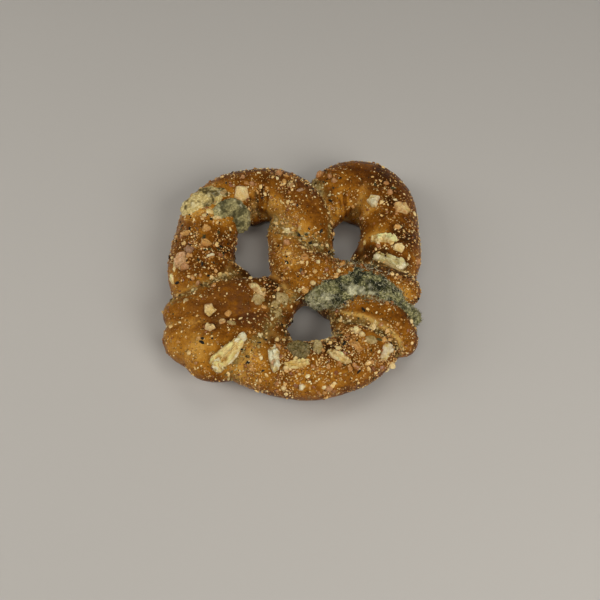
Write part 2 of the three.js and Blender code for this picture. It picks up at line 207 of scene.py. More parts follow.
@dataclass(frozen=True)
class Sweep:
    """How finely a strand is swept, and how its dough behaves inside a tight bend."""

    sides: int = 44
    ring_step: float = 1.4 * MM
    cap_rings: int = 9
    bend_span: float = 6 * MM
    bend_room: float = 0.92
    bend_sharpness: float = 6.0
    samples: int = 40

    def surface(self, stations: Iterable[Station]) -> Body:
        """Sweeps a rounded section along the stations, with a round cap at each end.

        Args:
            stations: The strand's stations in millimetres.

        Returns:
            The vertices in metres, and the faces as vertex numbers, pointing outwards.
        """
        route = Route(stations, self.samples)
        distance, share = self._rings(route)
        place = route.at(distance)
        tangent = route.direction(distance)
        side = unit(np.cross(tangent, (0, 0, 1)))
        top = np.cross(side, tangent)
        left, right = self._squeeze(route, distance, place[:, 3])
        angle = np.linspace(0, TURN, self.sides, endpoint=False)
        across = np.cos(angle)[None, :] * (share * place[:, 3])[:, None]
        across *= np.where(across > 0, right[:, None], left[:, None])
        upwards = np.sin(angle)[None, :] * (share * place[:, 4])[:, None]
        grid = place[:, None, :3] + side[:, None] * across[..., None] + top[:, None] * upwards[..., None]
        return capped_tube(grid[1:-1], place[0, :3], place[-1, :3])

    def _rings(self, route: Route) -> tuple[np.ndarray, np.ndarray]:
        """Spaces the rings, close together towards the round ends.

        Args:
            route: The strand's route.

        Returns:
            The distance to each ring, and the share of the whole section that it has.
        """
        start, end = route.rows[0, 3], route.length - route.rows[-1, 3]
        turns = np.linspace(0, math.pi / 2, self.cap_rings + 1)
        rings = max(2, round((end - start) / self.ring_step))
        middle = np.linspace(start, end, rings + 1)[1:-1]
        last = route.length - (route.length - end) * (1 - np.cos(turns[::-1]))
        distance = np.concatenate([start * (1 - np.cos(turns)), middle, last])
        share = np.concatenate([np.sin(turns), np.ones(len(middle)), np.sin(turns[::-1])])
        return distance, share

    def _squeeze(self, route: Route, distance: np.ndarray,
                 half_width: np.ndarray) -> tuple[np.ndarray, np.ndarray]:
        """Keeps the dough inside a tight bend from passing the bend's middle.

        Args:
            route: The strand's route.
            distance: How far along it each ring is.
            half_width: Each ring's half width, in metres.

        Returns:
            The share of its half width that each ring keeps to the left, and to the right.
        """
        before = route.direction(distance - self.bend_span)
        after = route.direction(distance + self.bend_span)
        bend = before[:, 0] * after[:, 1] - before[:, 1] * after[:, 0]
        radius = 2 * self.bend_span / np.arcsin(np.clip(np.abs(bend), 1e-6, 1))
        crowding = half_width / (self.bend_room * radius)
        kept = (1 + crowding**self.bend_sharpness) ** (-1 / self.bend_sharpness)
        return np.where(bend > 0, kept, 1), np.where(bend < 0, kept, 1)


def capped_tube(grid: np.ndarray, first: np.ndarray, last: np.ndarray) -> Body:
    """Closes rings of points into one body.

    Args:
        grid: Rings by sides by 3, in metres.
        first: The pole before the first ring.
        last: The pole after the last ring.

    Returns:
        The vertices and the faces.
    """
    rings, sides = grid.shape[:2]
    vertices = np.vstack([grid.reshape(-1, 3), first[None], last[None]])
    pole, far_pole = rings * sides, rings * sides + 1
    faces: Faces = []
    for j in range(sides):
        k = (j + 1) % sides
        faces.append((pole, k, j))
        faces.append((far_pole, (rings - 1) * sides + j, (rings - 1) * sides + k))
        faces += [(i * sides + j, i * sides + k, (i + 1) * sides + k, (i + 1) * sides + j)
                  for i in range(rings - 1)]
    return vertices, faces


def joined(bodies: Iterable[Body]) -> Body:
    """Puts bodies side by side in one list of vertices and one of faces.

    Args:
        bodies: Vertices and faces of each body.

    Returns:
        The vertices and faces of them all.
    """
    blocks: list[np.ndarray] = []
    faces: Faces = []
    count = 0
    for points, polygons in bodies:
        blocks.append(points)
        faces += [tuple(count + i for i in polygon) for polygon in polygons]
        count += len(points)
    return np.vstack(blocks), faces


def plain_mesh(name: str, body: Body) -> bpy.types.Mesh:
    """Makes a mesh from a body.

    Args:
        name: The mesh's name.
        body: Its vertices and faces.

    Returns:
        The mesh.
    """
    vertices, faces = body
    mesh = bpy.data.meshes.new(name)
    mesh.from_pydata(vertices.tolist(), [], faces)
    return mesh


def shade_smooth(mesh: bpy.types.Mesh) -> None:
    """Shades every face of the mesh smoothly."""
    mesh.polygons.foreach_set("use_smooth", np.ones(len(mesh.polygons), dtype=bool))


def new_object(name: str, mesh: bpy.types.Mesh) -> bpy.types.Object:
    """Links a new object to the scene.

    Args:
        name: The object's name.
        mesh: Its mesh.

    Returns:
        The object, at the origin.
    """
    made = bpy.data.objects.new(name, mesh)
    bpy.context.scene.collection.objects.link(made)
    return made


def evaluated_mesh(carrier: bpy.types.Object, name: str) -> bpy.types.Mesh:
    """Turns what the carrier's modifiers make into a plain mesh, and removes the carrier.

    Args:
        carrier: The object with the modifiers.
        name: The new mesh's name.

    Returns:
        The mesh.
    """
    depsgraph = bpy.context.evaluated_depsgraph_get()
    mesh = bpy.data.meshes.new_from_object(carrier.evaluated_get(depsgraph))
    mesh.name = name
    old = carrier.data
    bpy.data.objects.remove(carrier)
    if not old.users:
        bpy.data.meshes.remove(old)
    return mesh


def fused(name: str, bodies: Iterable[Body], voxel: float) -> bpy.types.Mesh:
    """Joins overlapping closed bodies into one skin of even small faces.

    Args:
        name: The mesh's name.
        bodies: Vertices and faces of each body.
        voxel: The size of a face in metres.

    Returns:
        The joined mesh.
    """
    carrier = new_object(name, plain_mesh(name, joined(bodies)))
    remesh = carrier.modifiers.new("skin", "REMESH")
    remesh.mode = "VOXEL"
    remesh.voxel_size = voxel
    return evaluated_mesh(carrier, name)


@dataclass(frozen=True)
class Rough:
    """Noise over a skin: how far apart its lumps are in metres, its seed, octaves and strength."""

    size: float
    seed: int
    octaves: int = 1
    strength: float = 1.0


class Skin:
    """A mesh's surface as arrays, to smooth, push in and out, and paint with maps."""

    def __init__(self, mesh: bpy.types.Mesh) -> None:
        """Reads the mesh's points, edges and normals.

        Args:
            mesh: The mesh.
        """
        self.mesh = mesh
        self.co = np.empty((len(mesh.vertices), 3))
        self.edges = np.empty((len(mesh.edges), 2), dtype=np.int64)
        mesh.vertices.foreach_get("co", self.co.ravel())
        mesh.edges.foreach_get("vertices", self.edges.ravel())
        self.degree = np.bincount(self.edges.ravel(), minlength=len(self.co)).clip(1)
        self.normals = np.empty_like(self.co)
        self.update()

    def update(self) -> None:
        """Writes the points back to the mesh and reads its normals again."""
        self.mesh.vertices.foreach_set("co", self.co.ravel())
        self.mesh.update()
        self.mesh.vertex_normals.foreach_get("vector", self.normals.ravel())

    def neighbour_mean(self, values: np.ndarray) -> np.ndarray:
        """Takes the mean over each point's neighbours.

        Args:
            values: One value for each point, or a row of them.

        Returns:
            The means, in the same shape.
        """
        columns = values.reshape(len(values), -1)
        a, b = self.edges.T
        sums = [np.bincount(a, column[b], len(values)) + np.bincount(b, column[a], len(values))
                for column in columns.T]
        return (np.column_stack(sums) / self.degree[:, None]).reshape(values.shape)

    def blurred(self, values: np.ndarray, passes: int) -> np.ndarray:
        """Spreads values over the surface.

        Args:
            values: One value for each point.
            passes: How often each point is mixed half with its neighbours.

        Returns:
            The blurred values.
        """
        for _ in range(passes):
            values = 0.5 * (values + self.neighbour_mean(values))
        return values

    def smooth(self, passes: int, share: np.ndarray | float = 1.0) -> None:
        """Relaxes the surface.

        Args:
            passes: How often each point moves halfway to its neighbours' mean.
            share: How far along that way it goes, in all or point by point.
        """
        weight = np.broadcast_to(np.asarray(share, dtype=float), len(self.co))[:, None]
        for _ in range(passes):
            self.co += 0.5 * weight * (self.neighbour_mean(self.co) - self.co)
        self.update()

    def raise_base(self, lowest: float = 0.0) -> None:
        """Lifts every point that is under the lowest height, in metres, up to it."""
        self.co[:, 2] = self.co[:, 2].clip(lowest)
        self.update()

    def concavity(self, passes: int) -> np.ndarray:
        """How hollow the surface is at each point, in metres and blurred: above 0 in a valley."""
        lift = ((self.neighbour_mean(self.co) - self.co) * self.normals).sum(axis=1)
        return self.blurred(lift, passes)

    def push(self, distance: np.ndarray) -> None:
        """Moves each point out along its normal by its distance in metres."""
        self.co += self.normals * distance[:, None]
        self.update()

    def paint(self, name: str, values: np.ndarray) -> None:
        """Stores one value a point, kept between 0 and 1, as the mesh's attribute."""
        layer = self.mesh.attributes.new(name, "FLOAT", "POINT")
        layer.data.foreach_set("value", np.clip(values, 0, 1).astype(np.float32))

    def noise(self, look: Rough) -> np.ndarray:
        """Reads smooth noise over the surface, each finer octave half as strong as the last.

        Args:
            look: Which noise it is. Its strength is left to the caller.

        Returns:
            A value between about -1 and 1 for each point.
        """
        total = np.zeros(len(self.co))
        for octave in range(look.octaves):
            places = self.co * (2**octave / look.size) + NOISE_STEP * (look.seed + octave)
            total += np.array([noise.noise(place) for place in places.tolist()]) / 2**octave
        return total

    def relief(self, look: Rough) -> np.ndarray:
        """The noise over the surface at its whole strength."""
        return look.strength * self.noise(look)

    def clumps(self, look: Rough) -> np.ndarray:
        """Reads rounded clumps over the surface.

        Args:
            look: How wide they are, and which they are.

        Returns:
            A value for each point: 1 in the middle of a clump and 0 between them.
        """
        places = self.co / look.size + CLUMP_STEP * look.seed
        nearest = np.array([noise.voronoi(place)[0][0] for place in places.tolist()])
        return np.clip(1 - nearest, 0, 1)

    def tree(self) -> BVHTree:
        """The surface for rays and nearest points."""
        polygons = [tuple(polygon.vertices) for polygon in self.mesh.polygons]
        return BVHTree.FromPolygons(self.co.tolist(), polygons)


def root_of(owner: list[int], i: int) -> int:
    """Follows owners up to the one that owns itself, and shortens the way for the next time.

    Args:
        owner: The owner of each point.
        i: The point to start from.

    Returns:
        The last owner.
    """
    while owner[i] != i:
        owner[i] = owner[owner[i]]
        i = owner[i]
    return i


def keep_largest_shell(mesh: bpy.types.Mesh) -> None:
    """Drops every loose scrap and sealed hollow, and keeps the shell with the most points.

    Args:
        mesh: The mesh to clean.
    """
    owner = list(range(len(mesh.vertices)))
    for edge in mesh.edges:
        a, b = edge.vertices
        owner[root_of(owner, a)] = root_of(owner, b)
    roots = np.array([root_of(owner, i) for i in range(len(owner))])
    kinds, counts = np.unique(roots, return_counts=True)
    if len(kinds) == 1:
        return
    shape = bmesh.new()
    shape.from_mesh(mesh)
    shape.verts.ensure_lookup_table()
    loose = np.flatnonzero(roots != kinds[np.argmax(counts)])
    bmesh.ops.delete(shape, geom=[shape.verts[i] for i in loose], context="VERTS")
    shape.to_mesh(mesh)
    shape.free()


def near_line(points: np.ndarray, line: Sequence[Point]) -> np.ndarray:
    """Measures how near each point is to a line.

    Args:
        points: Places in metres, one row each.
        line: The line's corners in millimetres.

    Returns:
        The distance in metres from each point.
    """
    corners = np.array(line) * MM
    distances = []
    for a, b in zip(corners, corners[1:]):
        t = np.clip(((points - a) @ (b - a)) / ((b - a) @ (b - a)), 0, 1)
        distances.append(np.linalg.norm(points - (a + t[:, None] * (b - a)), axis=1))
    return np.min(distances, axis=0)


# ---- node trees ----
Socket = bpy.types.NodeSocket
Value = float | int | bool | str | Sequence[float] | Socket
FLOAT_SOCKET = "NodeSocketFloat"


def padded(colour: Value) -> Value:
    """A colour of three numbers with its fourth, which is 1."""
    return (*colour, 1.0) if isinstance(colour, tuple) and len(colour) == 3 else colour


class Nodes:
    """Adds nodes to one tree. An input that is given another node's output is joined to it."""

    def __init__(self, tree: bpy.types.NodeTree) -> None:
        """Works on this tree."""
        self.tree = tree

    def feed(self, node: bpy.types.Node, inputs: dict[str | int, Value]) -> None:
        """Sets or joins a node's inputs.

        Args:
            node: The node.
            inputs: A value or another node's output, by the input's name or number.
        """
        for name, value in inputs.items():
            if isinstance(value, Socket):
                self.tree.links.new(value, node.inputs[name])
            else:
                node.inputs[name].default_value = value

    def add(self, kind: str, inputs: dict[str | int, Value] | None = None,
            **settings: object) -> bpy.types.Node:
        """Adds one node.

        Args:
            kind: The node's type.
            inputs: A value or another node's output, by the input's name or number.
            settings: The node's own settings.

        Returns:
            The node.
        """
        made = self.tree.nodes.new(kind)
        for name, value in settings.items():
            setattr(made, name, value)
        self.feed(made, inputs or {})
        return made

    def math(self, operation: str, a: Value, b: Value = 0.0, c: Value = 0.0) -> Socket:
        """One sum of up to three values."""
        return self.add("ShaderNodeMath", {0: a, 1: b, 2: c}, operation=operation).outputs[0]

    def vector(self, operation: str, a: Value, b: Value = (0, 0, 0)) -> Socket:
        """One sum of two vectors."""
        return self.add("ShaderNodeVectorMath", {0: a, 1: b}, operation=operation).outputs[0]

    def scaled(self, a: Value, scale: Value) -> Socket:
        """A vector times a number."""
        return self.add("ShaderNodeVectorMath", {0: a, "Scale": scale}, operation="SCALE").outputs[0]

    def combined(self, x: Value, y: Value, z: Value) -> Socket:
        """A vector from its three numbers."""
        return self.add("ShaderNodeCombineXYZ", {0: x, 1: y, 2: z}).outputs[0]

    def mix(self, share: Value, a: Value, b: Value, blend: str = "MIX") -> Socket:
        """Colour a with a share of colour b."""
        inputs = {0: share, 6: padded(a), 7: padded(b)}
        return self.add("ShaderNodeMix", inputs, data_type="RGBA", blend_type=blend).outputs[2]

    def between(self, value: Value, low: Value, high: Value, start: Value = 0.0, end: Value = 1.0) -> Socket:
        """The value's place between low and high, kept inside start and end."""
        inputs = {"Value": value, "From Min": low, "From Max": high, "To Min": start, "To Max": end}
        return self.add("ShaderNodeMapRange", inputs).outputs[0]

    def ramp(self, value: Value, stops: Stops) -> Socket:
        """Looks a value up along a row of colours.

        Args:
            value: What is looked up.
            stops: The colours and their places.

        Returns:
            The colour.
        """
        made = self.add("ShaderNodeValToRGB", {0: value})
        elements = made.color_ramp.elements
        for place, _ in stops[1:-1]:
            elements.new(place)
        for element, (place, colour) in zip(elements, stops):
            element.position = place
            element.color = padded(colour)
        return made.outputs[0]


class Group(Nodes):
    """The nodes of one shared shader effect, with number inputs and one number output."""

    def __init__(self, name: str, inputs: dict[str, float], output: str) -> None:
        """Opens the group.

        Args:
            name: The group's name.
            inputs: The name of each input, with the value it has when none is given.
            output: The name of the output.
        """
        super().__init__(bpy.data.node_groups.new(name, "ShaderNodeTree"))
        face = self.tree.interface
        for label, value in inputs.items():
            face.new_socket(label, in_out="INPUT", socket_type=FLOAT_SOCKET).default_value = value
        face.new_socket(output, in_out="OUTPUT", socket_type=FLOAT_SOCKET)
        self.given = self.add("NodeGroupInput").outputs
        self.place = self.add("ShaderNodeTexCoord").outputs["Object"]

    def noise(self, place: Socket, scale: Value, detail: Value) -> bpy.types.Node:
        """Noise of a given scale at a place."""
        return self.add("ShaderNodeTexNoise", {"Vector": place, "Scale": scale, "Detail": detail})

    def closed(self, result: Socket) -> bpy.types.NodeTree:
        """Puts the result out, and gives the finished group."""
        self.add("NodeGroupOutput", {0: result})
        return self.tree


class Effects:
    """The shader effects that several materials share, each built once."""

    WAVES = 1.6  # waves in the outline to each freckle's spacing
    CORE = 0.6  # the share of a freckle's radius that is whole

    def __init__(self) -> None:
        """Builds every effect."""
        self.mottle = self._mottle()
        self.freckles = self._freckles()
        self.grain = self._grain()

    @staticmethod
    def _mottle() -> bpy.types.NodeTree:
        """Soft blotches of a given size, which rise from 0 to 1 between Low and High.

        Returns:
            The group.
        """
        group = Group("mottle", {"Size": 0.01, "Detail": 3, "Low": 0.35, "High": 0.65}, "Mask")
        scale = group.math("DIVIDE", 1.0, group.given["Size"])
        cloud = group.noise(group.place, scale, group.given["Detail"]).outputs["Fac"]
        return group.closed(group.between(cloud, group.given["Low"], group.given["High"]))

    @staticmethod
    def _freckles() -> bpy.types.NodeTree:
        """Makes small uneven dots: Spacing apart, Radius as a share of that, a Share of them kept.

        Returns:
            The group.
        """
        group = Group("freckles", {"Spacing": 0.002, "Radius": 0.3, "Share": 0.5}, "Mask")
        spacing, radius = group.given["Spacing"], group.given["Radius"]
        scale = group.math("DIVIDE", 1.0, spacing)
        wave = group.noise(group.place, group.math("MULTIPLY", scale, Effects.WAVES), 2).outputs["Color"]
        shift = group.vector("SUBTRACT", wave, (0.5, 0.5, 0.5))
        bent = group.vector("ADD", group.place, group.scaled(shift, spacing))
        cell = group.add("ShaderNodeTexVoronoi", {"Vector": bent, "Scale": scale})
        core = group.math("MULTIPLY", radius, Effects.CORE)
        dot = group.between(cell.outputs["Distance"], radius, core)
        chance = group.add("ShaderNodeSeparateColor", {0: cell.outputs["Color"]}).outputs[0]
        kept = group.math("LESS_THAN", chance, group.given["Share"])
        return group.closed(group.math("MULTIPLY", dot, kept))

    @staticmethod
    def _grain() -> bpy.types.NodeTree:
        """Makes the height of fine surface grain over coarser lumps.

        Returns:
            The group.
        """
        group = Group("grain", {"Fine Size": 0.0004, "Coarse Size": 0.003, "Coarse Share": 0.5}, "Height")
        fine, coarse = (
            group.noise(group.place, group.math("DIVIDE", 1.0, group.given[size]), 3).outputs["Fac"]
            for size in ("Fine Size", "Coarse Size"))
        lumps = group.math("MULTIPLY", coarse, group.given["Coarse Share"])
        return group.closed(group.math("ADD", fine, lumps))


@dataclass(frozen=True)
class Mottle:
    """Soft blotches: their size, how finely they are broken, and the noise that they rise between."""

    size: float
    detail: float = 3
    low: float = 0.3
    high: float = 0.7


@dataclass(frozen=True)
class Freckles:
    """Small dots: how far apart, how wide as a share of that, and the share that is kept."""

    spacing: float
    radius: float
    share: float = 0.0


@dataclass(frozen=True)
class Grain:
    """Surface grain: the sizes of its fine and coarse lumps, the coarse ones' share, and its depth."""

    fine: float
    coarse: float
    coarse_share: float
    depth: float
    strength: float = 1.0


class Coat(Nodes):
    """The nodes of one material, laid round its Principled shader."""

    def __init__(self, name: str, effects: Effects) -> None:
        """Makes the material.

        Args:
            name: The material's name.
            effects: The shared shader effects.
        """
        self.material = bpy.data.materials.new(name)
        self.material.use_nodes = True
        self.effects = effects
        super().__init__(self.material.node_tree)

    def map(self, name: str) -> Socket:
        """A painted map's value."""
        return self.add("ShaderNodeAttribute", attribute_name=name).outputs["Fac"]

    def effect(self, group: bpy.types.NodeTree, inputs: dict[str, Value]) -> Socket:
        """The output of a shared effect with these inputs."""
        return self.add("ShaderNodeGroup", inputs, node_tree=group).outputs[0]

    def mottle(self, look: Mottle) -> Socket:
        """Where soft blotches lie."""
        inputs = {"Size": look.size, "Detail": look.detail, "Low": look.low, "High": look.high}
        return self.effect(self.effects.mottle, inputs)

    def freckles(self, look: Freckles, share: Value = 0.0) -> Socket:
        """Where small dots lie, with the look's own share of them kept unless one is given."""
        inputs = {"Spacing": look.spacing, "Radius": look.radius, "Share": share or look.share}
        return self.effect(self.effects.freckles, inputs)

    def bump(self, look: Grain, relief: Value = 0.0) -> Socket:
        """Makes the normal of a surface's grain.

        Args:
            look: The grain.
            relief: More height to add to it.

        Returns:
            The normal.
        """
        sizes = {"Fine Size": look.fine, "Coarse Size": look.coarse, "Coarse Share": look.coarse_share}
        height = self.math("ADD", self.effect(self.effects.grain, sizes), relief)
        inputs = {"Strength": look.strength, "Distance": look.depth, "Height": height}
        return self.add("ShaderNodeBump", inputs).outputs[0]

    def laid(self, colour: Value, layer: Value, mask: Value, strength: Value = 1.0) -> Socket:
        """A colour with a layer over it, as thick as the mask times the strength."""
        return self.mix(self.math("MULTIPLY", mask, strength), colour, layer)

    def finished(self, inputs: dict[str, Value]) -> bpy.types.Material:
        """Feeds the shader its inputs, and gives the material."""
        self.feed(self.tree.nodes["Principled BSDF"], inputs)
        return self.material


# ---- finishes ----
@dataclass(frozen=True)
class CrustFinish:
    """Baked crust: pale dough where it is folded, through gold and brown to nearly burnt."""

    stops: Stops = (
        (0.0, (0.68, 0.345, 0.062)), (0.25, (0.48, 0.200, 0.021)), (0.5, (0.285, 0.097, 0.007)),
        (0.75, (0.14, 0.038, 0.0025)), (1.0, (0.045, 0.011, 0.0015)),
    )
    fold: Colour = (0.56, 0.385, 0.12)
    filling: Colour = (0.26, 0.19, 0.055)
    skin: Colour = (0.15, 0.05, 0.016)
    dark_freckle_and_shadow: Colour = (0.05, 0.015, 0.004)
    crumb_and_glint: Colour = (0.88, 0.56, 0.20)
    shine: Colour = (1.0, 0.66, 0.14)
    gloss: float = 0.3
    roughness: tuple[float, float] = (0.33, 0.2)
    blotches: tuple[tuple[Mottle, float], ...] = (
        (Mottle(0.009), 0.34), (Mottle(0.0032), 0.24), (Mottle(0.001), 0.14))
    breaks: Mottle = Mottle(0.0022, 4, 0.35, 0.6)
    burnt: Freckles = Freckles(0.0019, 0.33, 0.14)
    # Pale dots are crumbs with a painted glint on each; the wider rim dots round them give a dark ring of
    # painted shadow and a raised bump.
    crumb_glint_dots: Freckles = Freckles(0.00125, 0.30)
    rim: Freckles = Freckles(0.00125, 0.48)
    rim_height: float = 0.9
    grain: Grain = Grain(0.0006, 0.0022, 1.6, 0.0005)

    def build(self, effects: Effects) -> bpy.types.Material:
        """Makes the crust's material, from its maps of browning with painted shade and light, of folds,
        filling, skin and granules.

        Args:
            effects: The shared shader effects.

        Returns:
            The material.
        """
        coat = Coat("baked crust", effects)
        bake = coat.map("bake")
        for look, strength in self.blotches:
            blotch = coat.math("MULTIPLY_ADD", coat.mottle(look), strength, -strength / 2)
            bake = coat.math("ADD", bake, blotch)
        broken = coat.mottle(self.breaks)
        colour = coat.laid(coat.ramp(bake, self.stops), self.skin, coat.map("skin"), broken)
        colour = coat.laid(colour, self.fold, coat.map("fold"), coat.math("MULTIPLY_ADD", broken, 0.5, 0.5))
        crumbly = coat.math("MULTIPLY_ADD", broken, 0.6, 0.3)
        colour = coat.laid(colour, self.filling, coat.map("filling"), crumbly)
        colour = coat.laid(colour, self.dark_freckle_and_shadow, coat.freckles(self.burnt), strength=0.6)
        share = coat.math("MULTIPLY_ADD", coat.map("granules"), 0.8, 0.02)
        # Pale crumb dots with painted glints, each set in a dark ring of painted shadow.
        crumb_glint_dots = coat.freckles(self.crumb_glint_dots, share)
        rim = coat.freckles(self.rim, share)
        colour = coat.laid(colour, self.dark_freckle_and_shadow, rim, strength=0.55)
        colour = coat.laid(colour, self.crumb_and_glint, crumb_glint_dots, strength=0.7)
        return coat.finished({
            "Base Color": colour, "Roughness": coat.between(crumb_glint_dots, 0, 1, *self.roughness),
            "Specular IOR Level": self.gloss, "Specular Tint": padded(self.shine),
            "Normal": coat.bump(self.grain, coat.math("MULTIPLY", rim, self.rim_height)),
        })


@dataclass(frozen=True)
class FlakeFinish:
    """Dried flakes, each in its own tint, toasted here and there."""

    toasted: Colour = (0.58, 0.24, 0.055)
    shade: Colour = (0.58, 0.38, 0.13)
    speck: Colour = (0.04, 0.03, 0.012)
    clouds: Mottle = Mottle(0.0015, 4, 0.45, 0.75)
    scorch: Mottle = Mottle(0.0024, 3, 0.3, 0.6)
    specks: Freckles = Freckles(0.0015, 0.2, 0.1)
    grain: Grain = Grain(0.0006, 0.0018, 1.4, 0.0007)
    roughness: tuple[float, float] = (0.25, 0.45)
    gloss: float = 0.5

    def build(self, effects: Effects) -> bpy.types.Material:
        """Makes the flakes' material, from their tint and toast maps.

        Args:
            effects: The shared shader effects.

        Returns:
            The material.
        """
        coat = Coat("dried flake", effects)
        tint = coat.add("ShaderNodeAttribute", attribute_name="tint").outputs["Color"]
        cloudy = coat.mottle(self.clouds)
        colour = coat.laid(tint, self.shade, cloudy, strength=0.4)
        colour = coat.laid(colour, self.toasted, coat.map("toast"), coat.mottle(self.scorch))
        colour = coat.laid(colour, self.speck, coat.freckles(self.specks), strength=0.8)
        return coat.finished({
            "Base Color": colour, "Roughness": coat.between(cloudy, 0, 1, *self.roughness),
            "Specular IOR Level": self.gloss, "Normal": coat.bump(self.grain),
        })


@dataclass(frozen=True)
class SprinkleFinish:
    """Small toppings, each of one tone out of a row of colours."""

    name: str
    stops: Stops
    roughness: tuple[float, float]
    gloss: float
    shade: Colour = (0.35, 0.20, 0.08)
    clouds: Mottle = Mottle(0.0006)
    cloudiness: float = 0.4
    grain: Grain = Grain(0.0003, 0.001, 1.0, 0.0002, 0.4)

    def build(self, effects: Effects) -> bpy.types.Material:
        """Makes the material, from the tone of each piece.

        Args:
            effects: The shared shader effects.

        Returns:
            The material.
        """
        coat = Coat(self.name, effects)
        cloudy = coat.mottle(self.clouds)
        tone = coat.ramp(coat.map("tone"), self.stops)
        colour = coat.mix(coat.math("MULTIPLY", cloudy, self.cloudiness), tone, self.shade, "MULTIPLY")
        return coat.finished({
            "Base Color": colour, "Roughness": coat.between(cloudy, 0, 1, *self.roughness),
            "Specular IOR Level": self.gloss, "Normal": coat.bump(self.grain),
        })


@dataclass(frozen=True)
class MouldFinish:
    """Fuzzy mould, mottled from its dark spores to its pale threads."""

    growth: Growth
    bloom: Colour = (0.84, 0.80, 0.54)
    sheen: Colour = (0.8, 0.85, 0.7)
    threads: Mottle = Mottle(0.0009, 4, 0.44, 0.62)
    spores: Mottle = Mottle(0.0018, 4, 0.36, 0.5)
    specks: Freckles = Freckles(0.0015, 0.34, 0.4)
    grain: Grain = Grain(0.0005, 0.0013, 1.0, 0.0006)

    def build(self, effects: Effects) -> bpy.types.Material:
        """Makes the mould's material, from its dark and pale maps.

        Args:
            effects: The shared shader effects.

        Returns:
            The material.
        """
        dark, middle, pale, _ = self.growth.value
        coat = Coat(f"{self.growth.name.lower()} mould", effects)
        colour = coat.mix(coat.mottle(self.threads), middle, pale)
        colour = coat.laid(colour, dark, coat.map("dark"), strength=0.33)
        spotted = coat.math("MAXIMUM", coat.mottle(self.spores), coat.freckles(self.specks))
        colour = coat.laid(colour, dark, spotted, coat.map("dark"))
        colour = coat.laid(colour, self.bloom, coat.map("pale"), strength=0.9)
        return coat.finished({
            "Base Color": colour, "Roughness": 0.9, "Normal": coat.bump(self.grain),
            "Specular IOR Level": 0.12, "Sheen Weight": 0.04, "Sheen Roughness": 0.6,
            "Sheen Tint": padded(self.sheen),
        })


@dataclass(frozen=True)
class FloorFinish:
    """A plain pale floor, faintly uneven."""

    colour: Colour = (0.545, 0.525, 0.50)
    worn: Colour = (0.43, 0.415, 0.40)
    clouds: Mottle = Mottle(0.15, 1, 0.2, 0.8)
    unevenness: float = 0.06
    roughness: float = 0.7

    def build(self, effects: Effects) -> bpy.types.Material:
        """Makes the floor's material.

        Args:
            effects: The shared shader effects.

        Returns:
            The material.
        """
        coat = Coat("pale floor", effects)
        colour = coat.laid(self.colour, self.worn, coat.mottle(self.clouds), self.unevenness)
        return coat.finished({"Base Color": colour, "Roughness": self.roughness})


# ---- the crust ----
@dataclass(frozen=True)
class Patch:
    """A soft round area seen from above, in millimetres, and how much it adds to a map."""

    x: float
    y: float
    radius: float
    amount: float

    def over(self, points: np.ndarray) -> np.ndarray:
        """What the patch adds at each point."""
        distance = np.hypot(points[:, 0] - self.x * MM, points[:, 1] - self.y * MM)
        return self.amount * np.exp(-((distance / (self.radius * MM)) ** 2))


def patches(*rows: tuple[float, float, float, float]) -> tuple[Patch, ...]:
    """Patches from rows of place, radius and amount."""
    return tuple(Patch(*row) for row in rows)


def patched(points: np.ndarray, start: float, areas: Iterable[Patch]) -> np.ndarray:
    """A map that starts even and has every patch added."""
    return start + sum(area.over(points) for area in areas)


@dataclass(frozen=True)
class Groove:
    """A furrow in the crust along a line in millimetres. A depth below 0 makes a lip instead."""

    line: tuple[Point, ...]
    width: float
    depth: float
    upright: float = 0.35

    def cut(self, points: np.ndarray) -> np.ndarray:
        """Measures the furrow, whose width counts for more up and down than across.

        Args:
            points: Places in metres, one row each.

        Returns:
            How far each point sinks, in metres.
        """
        flatter = np.array([1, 1, self.upright])
        near = near_line(points * flatter, [tuple(flatter * place) for place in self.line])
        return self.depth * MM * np.exp(-((near / (self.width * MM)) ** 2))


@dataclass(frozen=True)
class Seam:
    """A crumbly seam on the crust along a line in millimetres: its width, and how thickly it is strewn."""

    line: tuple[Point, ...]
    width: float
    strength: float = 1.0

    def over(self, points: np.ndarray) -> np.ndarray:
        """How strong the seam is at each point."""
        return self.strength * np.exp(-((near_line(points, self.line) / (self.width * MM)) ** 2))


@dataclass(frozen=True)
class BakeAndShade:
    """How much each thing darkens the crust's colour, or pales it where it is below 0: browning, and painted
    shade and light.
    """

    start: float = 0.33
    granules: float = 0.16
    # Faces turned away from the camera are darker: partly browner crowns, partly painted shade.
    far_side_brown_and_shade: float = 0.34
    # Faces turned right get painted shade, and faces turned left painted light.
    right_side_shade: float = 0.2
    left_side_light: float = -0.06
    folds: float = -0.25
    base: float = 0.12
    steep: float = 0.45
    # Grooves darker is painted shade; lips paler is pale dough with a painted highlight.
    grooves: float = 0.45
    lips: float = -0.5


